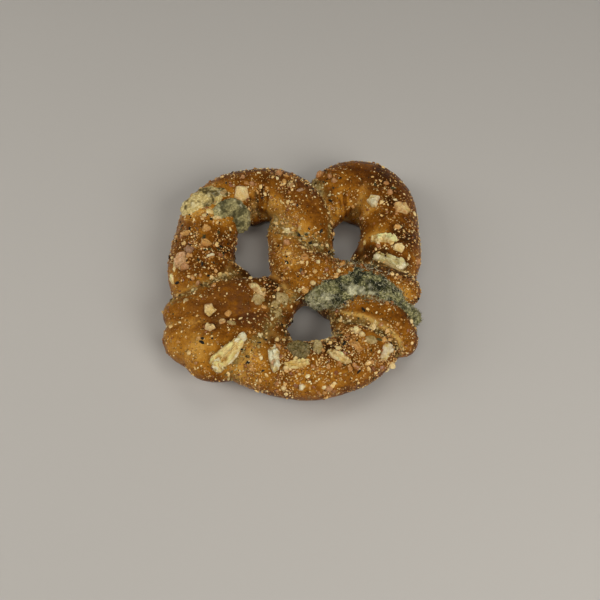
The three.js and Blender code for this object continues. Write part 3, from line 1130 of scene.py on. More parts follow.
@dataclass
class Crust:
    """The whole rope as one skin, with its relief and the maps that its material reads."""

    voxel: float = 0.74 * MM
    fillet_passes: int = 14
    fold_depth: float = 0.02 * MM
    flat_base: float = 3 * MM
    lumps: Rough = Rough(13 * MM, seed=1, octaves=2, strength=0.35 * MM)
    ripples: Rough = Rough(3.2 * MM, seed=2, octaves=3, strength=0.16 * MM)
    blisters: Rough = Rough(5.5 * MM, seed=5, strength=0.3 * MM)
    blister_floor: float = 0.25
    blotches: Rough = Rough(18 * MM, seed=9, octaves=2, strength=0.12)
    breaks: Rough = Rough(4 * MM, seed=6, octaves=2, strength=1.1)
    clusters: Rough = Rough(7 * MM, seed=4, octaves=2, strength=0.9)
    bake: BakeAndShade = BakeAndShade()
    lip_height: float = 0.8 * MM
    groove_depth: float = 1 * MM
    browned_base: float = 4 * MM
    bare_base: float = 2 * MM
    even_granules: float = 0.3
    even_herbs: float = 0.035
    herbs_in_filling: float = 0.12

    grooves: tuple[Groove, ...] = (
        Groove(((-19.5, 41, 21.5), (-19.3, 37.7, 17.6), (-19.1, 36.3, 9)), 1.0, 1.4),
        Groove(((-16.7, 43, 22.6), (-16.7, 38, 19.7), (-17, 35.8, 9)), 1.0, 1.7),
        Groove(((-13.6, 40, 22), (-14.1, 36.1, 19.6), (-15, 35.6, 9)), 0.9, 1.3),
        Groove(((-22.9, 39, 18), (-22.3, 35.8, 9.4)), 1.0, 1.1),
        Groove(((19.6, 38, 20.2), (20.5, 33, 14.6)), 0.9, 0.7),
        Groove(((23, 38.4, 19.1), (23.6, 33.2, 9)), 0.9, 1.1),
        Groove(((25.3, 41, 19.4), (25.5, 37.9, 18.2), (25.9, 34.7, 7)), 0.9, 1.6),
        Groove(((28.3, 40, 18), (28.8, 36.5, 9)), 0.9, 1.1),
        Groove(((20.5, -30.5, 16.5), (26.8, -33, 19.3), (31.5, -34.7, 20.4), (37.5, -38.3, 20.7),
                (42.5, -41.8, 19.1), (46, -44.6, 16.9), (47, -47.5, 13)), 1.2, 1.8),
        Groove(((18.5, -26.6, 14.5), (24, -29.6, 18.7), (31.1, -31.6, 19.9), (37.4, -35.3, 20.7),
                (43.4, -38.9, 19.3), (46.9, -41.7, 17.5), (48.7, -45, 15)), 0.9, -1.3),
    )
    # Patches that darken the crust, or pale it below 0: browning together with painted shade and light, such
    # as the darker arcs at the tops of the holes.
    browned_and_shaded: tuple[Patch, ...] = patches(
        # left lobe
        (-23, 51, 8, 0.2), (-44, -5, 8, 0.15), (-56, 12, 7, 0.15), (-17.5, 36.5, 4.5, 0.1),
        (-13, 8, 6, 0.25), (-47, 8, 14, 0.1), (-43, 4, 8, -0.1), (-59.5, 1, 5, 0.2), (-48, 28, 6, -0.3),
        (-38, 26, 5, -0.35), (-14, 30, 6, -0.1), (-22, 36, 5, 0.3), (-24, 34, 4, 0.2), (-44, 3, 8, 0.15),
        (-32, 6, 6, 0.2), (-17, 33, 5, -0.25), (-15, 38, 4, -0.2),
        # right lobe
        (21, 54, 9, 0.3), (39, 51, 9, 0.38), (46, 46, 7, 0.2), (33, 40, 6, -0.1), (24, 37, 6, -0.15),
        (38, 33.5, 5, -0.12), (50, 32, 12, 0.14), (48, 15, 14, 0.14), (33.5, 10, 7, 0.45),
        (34, 22, 7, 0.35), (32, 38, 5, 0.2), (51, 14, 7, 0.1), (49, -5, 8, 0.2), (45, 35, 6, 0.15),
        (41, -1, 6, 0.55), (18, 38, 6, 0.1), (52, 15, 6, 0.2), (50, -4, 6, 0.3), (58, 24, 7, 0.15),
        (34, 49, 10, 0.12), (49, 33, 7, 0.25), (51, 12, 6, 0.3), (31, 4, 6, 0.35), (23, 33, 5, -0.35),
        (51, 21, 6, -0.3), (35, 16, 5, -0.3), (37, 31, 4, -0.25), (40.5, 13, 4, -0.35), (38, 32, 5, -0.2),
        (40, 13, 5, -0.2),
        # twist
        (-12, 52, 8, 0.22), (8, 52, 6, 0.25), (4.5, 24, 6, 0.35), (7.5, 31, 8, 0.2), (2, 38, 8, 0.1),
        (-9, 31, 6, -0.15), (-7, 25, 5, -0.25), (-3, 24, 5, -0.15), (5, 17, 5, -0.2), (-11, 42, 7, 0.12),
        (-11.5, -2, 6, 0.35), (-6.5, -11, 6, 0.3), (0, -6, 9, -0.1), (2, -14, 7, 0.12), (17, -28, 7, 0.5),
        (-9, -39, 5, 0.3), (-4, 33, 5, 0.2), (16, 30, 5, 0.2), (16, 19, 5, 0.25), (10, 10, 6, 0.2),
        (-9, -16, 5, 0.3), (-10, -25, 6, 0.3), (-5, -32, 6, 0.25), (-12, 31, 6, -0.7), (-6, 15, 4, -0.25),
        (13, 9, 7, 0.25), (-7, 35, 6, 0.25), (17, 41, 4, 0.25), (-3, -15, 7, 0.1), (-2, 29, 6, -0.15),
        (-1, 2, 8, -0.25), (5, 21, 5, -0.2), (-2, 17, 6, -0.25), (-2, -7, 6, -0.15),
        # left end
        (-51.5, -30, 8, 0.35), (-49, -9, 7, 0.25), (-28, -6.7, 6, 0.3), (-22.5, -6.4, 6, 0.3),
        (-31, -25, 11, 0.3), (-21, -24, 8, 0.15), (-39, -28, 7, 0.22), (-38, -34, 6, 0.3),
        (-56, -26, 6, -0.1), (-46, -38.5, 7, -0.15), (-22, -38, 6, 0.25), (-18, -32, 6, 0.2),
        (-33, -6, 6, 0.12), (-21, -13, 6, 0.15), (-44, -35, 6, -0.15), (-41, -14, 7, -0.2),
        # right end
        (50, -9, 8, 0.15), (35, -29, 8, 0.15), (39, -30, 6, 0.22), (49, -41, 6, -0.15),
        (48, -21, 7, -0.35), (54, -20, 5, -0.2), (53, -14, 5, 0.15), (50, -35, 7, 0.25), (42, -6, 8, 0.3),
        # belly
        (-14, -51, 5, 0.3), (-13, -63, 7, 0.3), (-4, -56, 6, 0.25), (7, -47, 6, 0.25), (16, -50, 7, 0.15),
        (-49, -49, 6, 0.12), (-30, -46, 6, 0.15), (-36, -58, 7, 0.3), (-56, -45, 8, 0.1),
        (-40, -47, 7, -0.1), (-17, -60, 12, -0.1), (-11, -64.8, 10, -0.15), (16, -63, 10, -0.08),
        (32, -48.5, 7, -0.15), (20, -56, 8, -0.08), (-6, -43, 5, 0.2), (-40, -48, 8, -0.1),
        (-52, -50, 10, -0.25), (-24, -52, 6, -0.2), (16, -47, 7, 0.3), (23, -55, 8, 0.25),
        (11, -58, 6, 0.15), (14, -45, 6, 0.5), (-18, -58, 7, -0.3), (12, -62, 14, -0.2),
        (-40, -57, 7, -0.17), (-12, -47, 5, -0.15),
    )
    granular: tuple[Patch, ...] = patches(
        (-46, 10, 14, 0.7), (2, -2, 12, 0.55), (25, -50, 18, 0.75), (42, -45, 10, 0.6), (5, -62, 16, 0.4),
        (48, 15, 14, 0.3), (46, 42, 12, 0.3), (34, 12, 6, -0.4), (-2, 25, 6, 0.9), (-40, -56, 8, 0.5),
        (-18, -58, 7, 0.6), (0, -64, 10, 0.3), (30, 53, 12, -0.15), (40, 54, 11, -0.25),
        (8, 53, 8, -0.15), (-18, 48, 12, 0.2), (-2, 44, 9, 0.5), (8, 27, 7, -0.25), (-28, -24, 11, -0.25),
        (-40, -45, 12, -0.1), (35, -28, 8, -0.05), (20, -8, 8, 0.35), (-10, -22, 8, 0.2),
        (-47, -30, 8, 0.15), (52, -14, 8, 0.6),
    )
    herby: tuple[Patch, ...] = patches(
        (-46, 12, 14, 0.7), (-38, 4, 10, 0.3), (8, 11, 8, 0.7), (-8, -24, 8, 0.5), (35, -44, 12, 0.4),
        (12, 44, 7, 0.4), (-18, -50, 7, 0.3), (0, 0, 12, 0.15), (30, -8, 8, 0.3), (-40, -47, 10, 0.05),
        (-3, -40, 7, 0.2), (54, -24, 7, 0.5),
    )
    fillings: tuple[Seam, ...] = (
        Seam(((7.5, 51, 18), (10.8, 45.5, 20.5), (13.3, 40.5, 21)), 3.2),
        Seam(((13.3, 40.5, 21), (14.7, 34, 21.5), (15.5, 27.4, 22), (16.5, 22, 20), (17, 17, 17)), 1.5, 0.8),
        Seam(((-10, 26, 15), (-7.3, 21.5, 18.5), (-2.8, 17, 20.5), (2.6, 13.5, 20), (7, 11.4, 19.5),
              (11.4, 10, 18.5), (17, 9.5, 14)), 3.6),
        Seam(((-57, -22.7, 20), (-48.4, -20.2, 23), (-41.8, -15.6, 22.5), (-34.5, -9, 19.5),
              (-28.2, -4.3, 18)), 2.2, 0.7),
        Seam(((-27.4, -58, 16), (-27, -55.3, 19.6), (-24, -51.8, 21.5), (-18.8, -47.2, 22.3),
              (-14.5, -42, 21.3), (-11, -36.3, 20.3)), 2.8, 0.8),
        Seam(((-2, -19, 20), (-5, -22, 20.5), (-8, -27.5, 20), (-10, -33, 20)), 3.6, 0.75),
        # Along the groove under the belly's lip: olive crumbs, and painted shade below the lip.
        Seam(((20.5, -30.5, 16.5), (26.8, -33.4, 19.3), (31.5, -35.1, 20.4), (37.5, -38.7, 20.7),
              (42.5, -42.2, 19.1), (46, -45, 16.9), (47, -47.5, 13)), 2.2, 0.6),
        Seam(((18.5, -26.1, 17), (21.5, -25.6, 22), (28, -23.7, 25.5), (36.5, -23.9, 26.3),
              (43, -24.5, 25)), 1.8, 0.5),
        Seam(((16.5, -22, 12), (17.5, -30, 14), (17.3, -38, 16)), 4.0, 0.5),
    )
    mould_edge: Seam = Seam((
        (5.9, -20.9, 19), (11.9, -14.5, 24), (18.8, -9.5, 26), (26, -5.5, 26), (34, -7, 25),
        (41, -12, 25), (47, -19, 22), (54, -24, 18), (59, -31, 10), (52, -31, 17), (43, -25.5, 24),
        (36.5, -24.6, 25.5), (28, -24.4, 25), (20, -26.5, 20),
    ), 2.6)
    wrinkled: tuple[Patch, ...] = patches(
        (-33, -21, 9, 0.45), (-24, -22, 8, 0.35), (-23, -31.5, 6, 0.9), (-43, -34, 9, 0.6),
        (-16, -34, 6, 0.6), (6, 31, 8, 0.35), (36, 52, 9, 0.2),
    )

    def build(self) -> Skin:
        """Fuses the strands, shapes the skin and paints its maps.

        Returns:
            The skin of the whole pretzel.
        """
        sweep = Sweep()
        mesh = fused("crust", [sweep.surface(stations) for stations in STRANDS.values()], self.voxel)
        keep_largest_shell(mesh)
        skin = Skin(mesh)
        skin.raise_base()
        hollow = np.clip(skin.concavity(6) / self.fold_depth, 0, 1)
        fold = np.clip(skin.blurred(hollow, 8), 0, 1)
        skin.smooth(self.fillet_passes, 0.25 + 0.75 * fold)
        self._relief(skin, fold)
        self._paint(skin, fold)
        shade_smooth(mesh)
        return skin

    def _relief(self, skin: Skin, fold: np.ndarray) -> None:
        """Raises lumps, ripples and blisters all over, and cuts the grooves. The base stays flat.

        Args:
            skin: The pretzel's skin.
            fold: How deep in a fold each point is, from 0 to 1.
        """
        bumps = np.clip(skin.noise(self.blisters) - self.blister_floor, 0, 1)
        height = skin.relief(self.lumps) + skin.relief(self.ripples)
        height += self.blisters.strength * bumps * (1 - fold) - self._carving(skin)
        skin.push(height * np.clip(skin.co[:, 2] / self.flat_base, 0, 1))
        skin.raise_base()

    def _carving(self, skin: Skin) -> np.ndarray:
        """How deep every groove together is at each point, in metres."""
        return sum(groove.cut(skin.co) for groove in self.grooves)

    def _browning_and_shade(self, skin: Skin, fold: np.ndarray, granules: np.ndarray, cut: np.ndarray,
                  lip: np.ndarray) -> np.ndarray:
        """Adds up what browns the crust, and the painted shade and light on it.

        Args:
            skin: The pretzel's skin.
            fold: How deep in a fold each point is.
            granules: How thickly the granules lie.
            cut: How deep in a groove each point is.
            lip: How far up on a groove's lip it is.

        Returns:
            How browned each point is, with painted shade and light added in.
        """
        right, far, up = skin.normals.T
        bake = patched(skin.co, self.bake.start, self.browned_and_shaded)
        # Away-facing faces darker, partly browning and partly painted shade; right-facing faces painted
        # shade, left-facing faces painted light.
        bake += self.bake.granules * granules.clip(0, 1) + self.bake.far_side_brown_and_shade * np.clip(far, 0, 1)
        bake += self.bake.right_side_shade * np.clip(right, 0, 1) + self.bake.left_side_light * np.clip(-right, 0, 1)
        bake += skin.relief(self.blotches) + self.bake.folds * fold
        bake += self.bake.base * np.clip(1 - skin.co[:, 2] / self.browned_base, 0, 1)
        bake += self.bake.steep * np.clip(0.5 - up, 0, 0.6)
        # Painted shade in the grooves; pale dough with a painted highlight along the lips.
        return bake + self.bake.grooves * cut + self.bake.lips * lip

    def _paint(self, skin: Skin, fold: np.ndarray) -> None:
        """Paints how browned (with painted shade and light), folded, filled and wrinkled it is, and how
        thickly each topping lies.

        Args:
            skin: The pretzel's skin.
            fold: How deep in a fold each point is, from 0 to 1.
        """
        carving = self._carving(skin)
        cut, lip = np.clip(carving / self.groove_depth, 0, 1), np.clip(-carving / self.lip_height, 0, 1)
        granules = patched(skin.co, self.even_granules, self.granular)
        herbs = patched(skin.co, self.even_herbs, self.herby)
        wrinkles = patched(skin.co, 0.0, self.wrinkled)
        filling = np.max([seam.over(skin.co) for seam in self.fillings], axis=0)
        broken = np.clip(0.75 + skin.relief(self.breaks), 0, 1.4)
        clustered = np.clip(0.75 + skin.relief(self.clusters), 0.15, 1.6)
        off_base = np.clip((skin.co[:, 2] - self.bare_base) / self.flat_base, 0, 1)
        open_air = np.clip((skin.normals[:, 2] + 0.35) / 0.6, 0, 1) * off_base
        skin.paint("bake", self._browning_and_shade(skin, fold, granules, cut, lip))
        # Each lip is painted pale like a fold: pale dough with a painted highlight.
        skin.paint("fold", np.maximum(fold * broken * (0.5 - wrinkles), lip))
        skin.paint("filling", filling * broken)
        skin.paint("skin", wrinkles)
        skin.paint("fringe", self.mould_edge.over(skin.co) * broken)
        skin.paint("granules", granules * open_air * clustered)
        skin.paint("herbs", (herbs + self.herbs_in_filling * filling) * open_air * clustered)


# ---- small toppings, strewn ----
class Shape(Enum):
    """What a small topping is made from."""

    STONE = "rough stone"
    THREAD = "thin thread"


class Draw(Enum):
    """What a piece's random number is for. Each is added to the seed, so that no two are alike."""

    SIZE = 1
    SHAPE = 2
    TURN = 3
    STRETCH = 4
    TONE = 5


@dataclass(frozen=True)
class Sprinkle:
    """One kind of small topping, strewn over a skin by Geometry Nodes, thickest where a map says.

    Its density is in pieces a square metre, and its spacing and sizes are in metres.
    """

    name: str
    where: str
    density: float
    spacing: float
    smallest: float
    largest: float
    stretch: float
    flatness: float
    jaggedness: float
    fineness: int
    rise: float
    tilt: float
    seed: int
    shape: Shape = Shape.STONE
    shapes: int = 4
    rarity: float = 2.5  # how much rarer large pieces are than small ones
    dents: float = 1.3
    thread_tip: float = 0.06
    thread_root: float = 0.16

    def tree(self) -> bpy.types.NodeTree:
        """Builds the tree that strews, turns, sizes and joins the pieces.

        Returns:
            The tree, whose inputs are named as the sprinkle's fields are.
        """
        tree = bpy.data.node_groups.new(f"strew {self.name}", "GeometryNodeTree")
        face = tree.interface
        face.new_socket("Geometry", in_out="INPUT", socket_type="NodeSocketGeometry")
        for label in ("Density", "Spacing", "Smallest", "Largest", "Stretch", "Flatness", "Jaggedness",
                      "Rise", "Tilt"):
            face.new_socket(label, in_out="INPUT", socket_type=FLOAT_SOCKET)
        face.new_socket("Seed", in_out="INPUT", socket_type="NodeSocketInt")
        face.new_socket("Material", in_out="INPUT", socket_type="NodeSocketMaterial")
        face.new_socket("Geometry", in_out="OUTPUT", socket_type="NodeSocketGeometry")
        nodes = Nodes(tree)
        given = nodes.add("NodeGroupInput").outputs
        thickness = nodes.add("GeometryNodeInputNamedAttribute", {"Name": self.where}, data_type="FLOAT")
        spread = nodes.add("GeometryNodeDistributePointsOnFaces", {
            "Mesh": given["Geometry"], "Distance Min": given["Spacing"], "Density Max": given["Density"],
            "Density Factor": thickness.outputs[0], "Seed": given["Seed"],
        }, distribute_method="POISSON")
        chance = nodes.math("POWER", self._random(nodes, given["Seed"], Draw.SIZE), self.rarity)
        size = nodes.between(chance, 0, 1, given["Smallest"], given["Largest"])
        lift = nodes.scaled(spread.outputs["Normal"], nodes.math("MULTIPLY", size, given["Rise"]))
        points = nodes.add("GeometryNodeSetPosition", {"Geometry": spread.outputs["Points"], "Offset": lift})
        laid = nodes.add("GeometryNodeInstanceOnPoints", {
            "Points": points.outputs[0], "Instance": self._shapes(nodes, given["Jaggedness"]),
            "Pick Instance": True, "Instance Index": self._pick(nodes, given["Seed"]),
            "Rotation": self._turn(nodes, spread.outputs["Rotation"], given),
            "Scale": self._scale(nodes, size, given),
        })
        tone = self._random(nodes, given["Seed"], Draw.TONE)
        toned = nodes.add("GeometryNodeStoreNamedAttribute", {
            "Geometry": laid.outputs[0], "Name": "tone", "Value": tone,
        }, data_type="FLOAT", domain="INSTANCE")
        real = nodes.add("GeometryNodeRealizeInstances", {0: toned.outputs[0]})
        dressed = nodes.add("GeometryNodeSetMaterial", {0: real.outputs[0], "Material": given["Material"]})
        nodes.add("NodeGroupOutput", {0: dressed.outputs[0]})
        return tree

    @staticmethod
    def _random(nodes: Nodes, seed: Socket, draw: Draw) -> Socket:
        """A random number from 0 to 1 for each piece."""
        inputs = {"Seed": nodes.math("ADD", seed, draw.value)}
        return nodes.add("FunctionNodeRandomValue", inputs, data_type="FLOAT").outputs[1]

    def _pick(self, nodes: Nodes, seed: Socket) -> Socket:
        """Which of the shapes each piece has."""
        inputs = {4: 0, 5: self.shapes - 1, "Seed": nodes.math("ADD", seed, Draw.SHAPE.value)}
        return nodes.add("FunctionNodeRandomValue", inputs, data_type="INT").outputs[2]

    def _shapes(self, nodes: Nodes, jaggedness: Socket) -> Socket:
        """Makes a few rough shapes of size 1 to pick from.

        Args:
            nodes: The tree's nodes.
            jaggedness: How far noise bends them.

        Returns:
            The shapes as instances.
        """
        every = nodes.add("GeometryNodeJoinGeometry")
        for shape in range(self.shapes):
            body = self._body(nodes)
            here = nodes.add("GeometryNodeInputPosition").outputs[0]
            place = nodes.vector("ADD", here, (7.0 * shape, 3.0, self.seed))
            bend = nodes.add("ShaderNodeTexNoise", {"Vector": place, "Scale": self.dents, "Detail": 2})
            offset = nodes.vector("SUBTRACT", bend.outputs["Color"], (0.5, 0.5, 0.5))
            rough = nodes.add("GeometryNodeSetPosition", {
                "Geometry": body.outputs[0], "Offset": nodes.scaled(offset, jaggedness)})
            single = nodes.add("GeometryNodeGeometryToInstance", {0: rough.outputs[0]})
            nodes.tree.links.new(single.outputs[0], every.inputs[0])
        return every.outputs[0]

    def _body(self, nodes: Nodes) -> bpy.types.Node:
        """Makes the plain body that a shape is bent from.

        Args:
            nodes: The tree's nodes.

        Returns:
            The node whose first output is the body.
        """
        if self.shape is Shape.THREAD:
            radii = {"Radius Top": self.thread_tip, "Radius Bottom": self.thread_root}
            return nodes.add("GeometryNodeMeshCone", {"Vertices": 3, "Depth": 2.0, **radii})
        return nodes.add("GeometryNodeMeshIcoSphere", {"Radius": 1.0, "Subdivisions": self.fineness})

    @staticmethod
    def _turn(nodes: Nodes, rotation: Socket, given: bpy.types.NodeOutputs) -> Socket:
        """Stands each piece on the skin, spun at random and a little tilted.

        Args:
            nodes: The tree's nodes.
            rotation: The turn that stands a piece on the skin.
            given: The tree's inputs.

        Returns:
            The whole turn.
        """
        tilt = given["Tilt"]
        back = nodes.math("MULTIPLY", tilt, -1.0)
        inputs = {0: nodes.combined(back, back, 0.0), 1: nodes.combined(tilt, tilt, TURN),
                  "Seed": nodes.math("ADD", given["Seed"], Draw.TURN.value)}
        angles = nodes.add("FunctionNodeRandomValue", inputs, data_type="FLOAT_VECTOR").outputs[0]
        spin = nodes.add("FunctionNodeEulerToRotation", {0: angles}).outputs[0]
        both = {0: rotation, 1: spin}
        return nodes.add("FunctionNodeRotateRotation", both, rotation_space="LOCAL").outputs[0]

    def _scale(self, nodes: Nodes, size: Socket, given: bpy.types.NodeOutputs) -> Socket:
        """Sizes each piece along, across and through.

        Args:
            nodes: The tree's nodes.
            size: Each piece's half size.
            given: The tree's inputs.

        Returns:
            The three half sizes.
        """
        longer = nodes.between(self._random(nodes, given["Seed"], Draw.STRETCH), 0, 1, 1.0, given["Stretch"])
        return nodes.combined(nodes.math("MULTIPLY", size, longer), size,
                              nodes.math("MULTIPLY", size, given["Flatness"]))

    def strew(self, skin: bpy.types.Mesh, finish: bpy.types.Material) -> bpy.types.Object:
        """Strews the pieces over a skin.

        Args:
            skin: The mesh that they lie on.
            finish: Their material.

        Returns:
            One object with every piece as plain mesh.
        """
        carrier = new_object(f"{self.name}_carrier", skin)
        modifier = carrier.modifiers.new(self.name, "NODES")
        modifier.node_group = self.tree()
        for item in modifier.node_group.interface.items_tree:
            if item.in_out == "INPUT" and item.name != "Geometry":
                value = finish if item.name == "Material" else getattr(self, item.name.lower())
                modifier[item.identifier] = value
        mesh = evaluated_mesh(carrier, self.name)
        for name in MAPS:
            if name in mesh.attributes:
                mesh.attributes.remove(mesh.attributes[name])
        return new_object(self.name, mesh)


# ---- flakes ----
class Tint(Enum):
    """The colours that flakes and specks come in."""

    WHITE = (1.0, 0.87, 0.54)
    CREAM = (1.0, 0.76, 0.35)
    STRAW = (0.95, 0.71, 0.27)
    GREEN = (0.68, 0.62, 0.31)
    OLIVE = (0.165, 0.132, 0.042)
    GREY = (0.46, 0.345, 0.14)
    TAN = (0.72, 0.38, 0.10)
    PINK = (0.56, 0.27, 0.11)
    BLUSH = (0.74, 0.44, 0.22)
    MAUVE = (0.34, 0.20, 0.12)
    BLACK = (0.012, 0.011, 0.012)


@dataclass(frozen=True)
class Cut:
    """How flakes of one kind are shaped. One with 4 corners is a band, and one with none is round."""

    corners: int
    raggedness: float
    steepness: float
    lumpiness: float
    thickness: float
    hollow: float = 0.0
    squareness: float = 0.36

    def outline(self, sides: int, rng: np.random.Generator) -> np.ndarray:
        """Draws the edge of a flake that fills a square from -1 to 1.

        Args:
            sides: How many points it has.
            rng: The draw for its corners and tears.

        Returns:
            The points, one row each.
        """
        angle = np.linspace(0, TURN, sides, endpoint=False)
        plan = np.column_stack([np.cos(angle), np.sin(angle)])
        if self.corners == 4:
            plan = np.sign(plan) * np.abs(plan) ** self.squareness
        elif self.corners:
            at = (np.arange(self.corners) + rng.uniform(-0.3, 0.3, self.corners)) * TURN / self.corners
            reach = rng.uniform(0.9, 1.1, self.corners)
            plan = np.column_stack([np.interp(angle, at, reach * np.cos(at), period=TURN),
                                    np.interp(angle, at, reach * np.sin(at), period=TURN)])
        waves = range(2, min(14, max(6, sides // 4)))
        ragged = sum(rng.normal() / k**0.8 * np.cos(k * angle + rng.uniform(0, TURN)) for k in waves)
        plan *= 1 + self.raggedness * ragged[:, None]
        return plan / np.abs(plan).max(axis=0)


class Form(Enum):
    """What each kind of topping is cut like."""

    CHIP = Cut(corners=5, raggedness=0.035, steepness=9.0, lumpiness=0.5, thickness=1.7)
    BAND = Cut(4, raggedness=0.15, steepness=5.0, lumpiness=1.3, thickness=1.8, hollow=0.1, squareness=0.5)
    SLAB = Cut(4, raggedness=0.12, steepness=5.0, lumpiness=1.1, thickness=2.0, hollow=0.1, squareness=0.7)
    MELT = Cut(corners=7, raggedness=0.09, steepness=2.4, lumpiness=0.7, thickness=0.9)
    FLAP = Cut(corners=8, raggedness=0.05, steepness=4.0, lumpiness=0.8, thickness=1.6)
    CURL = Cut(corners=5, raggedness=0.06, steepness=7.0, lumpiness=0.6, thickness=2.0, hollow=0.55)
    BEAD = Cut(corners=0, raggedness=0.05, steepness=2.0, lumpiness=0.3, thickness=2.2)
    RING = Cut(corners=0, raggedness=0.04, steepness=4.0, lumpiness=0.2, thickness=1.3, hollow=0.95)
    SPECK = Cut(corners=5, raggedness=0.08, steepness=2.5, lumpiness=0.3, thickness=0.8)


@dataclass(frozen=True)
class Flake:
    """One flake as it lies, seen from above: place, length and width in millimetres, turn in degrees."""

    x: float
    y: float
    length: float
    width: float
    turn: float
    tint: Tint
    form: Form = Form.CHIP
    toast: float = 0.15
    taper: float = 0.0


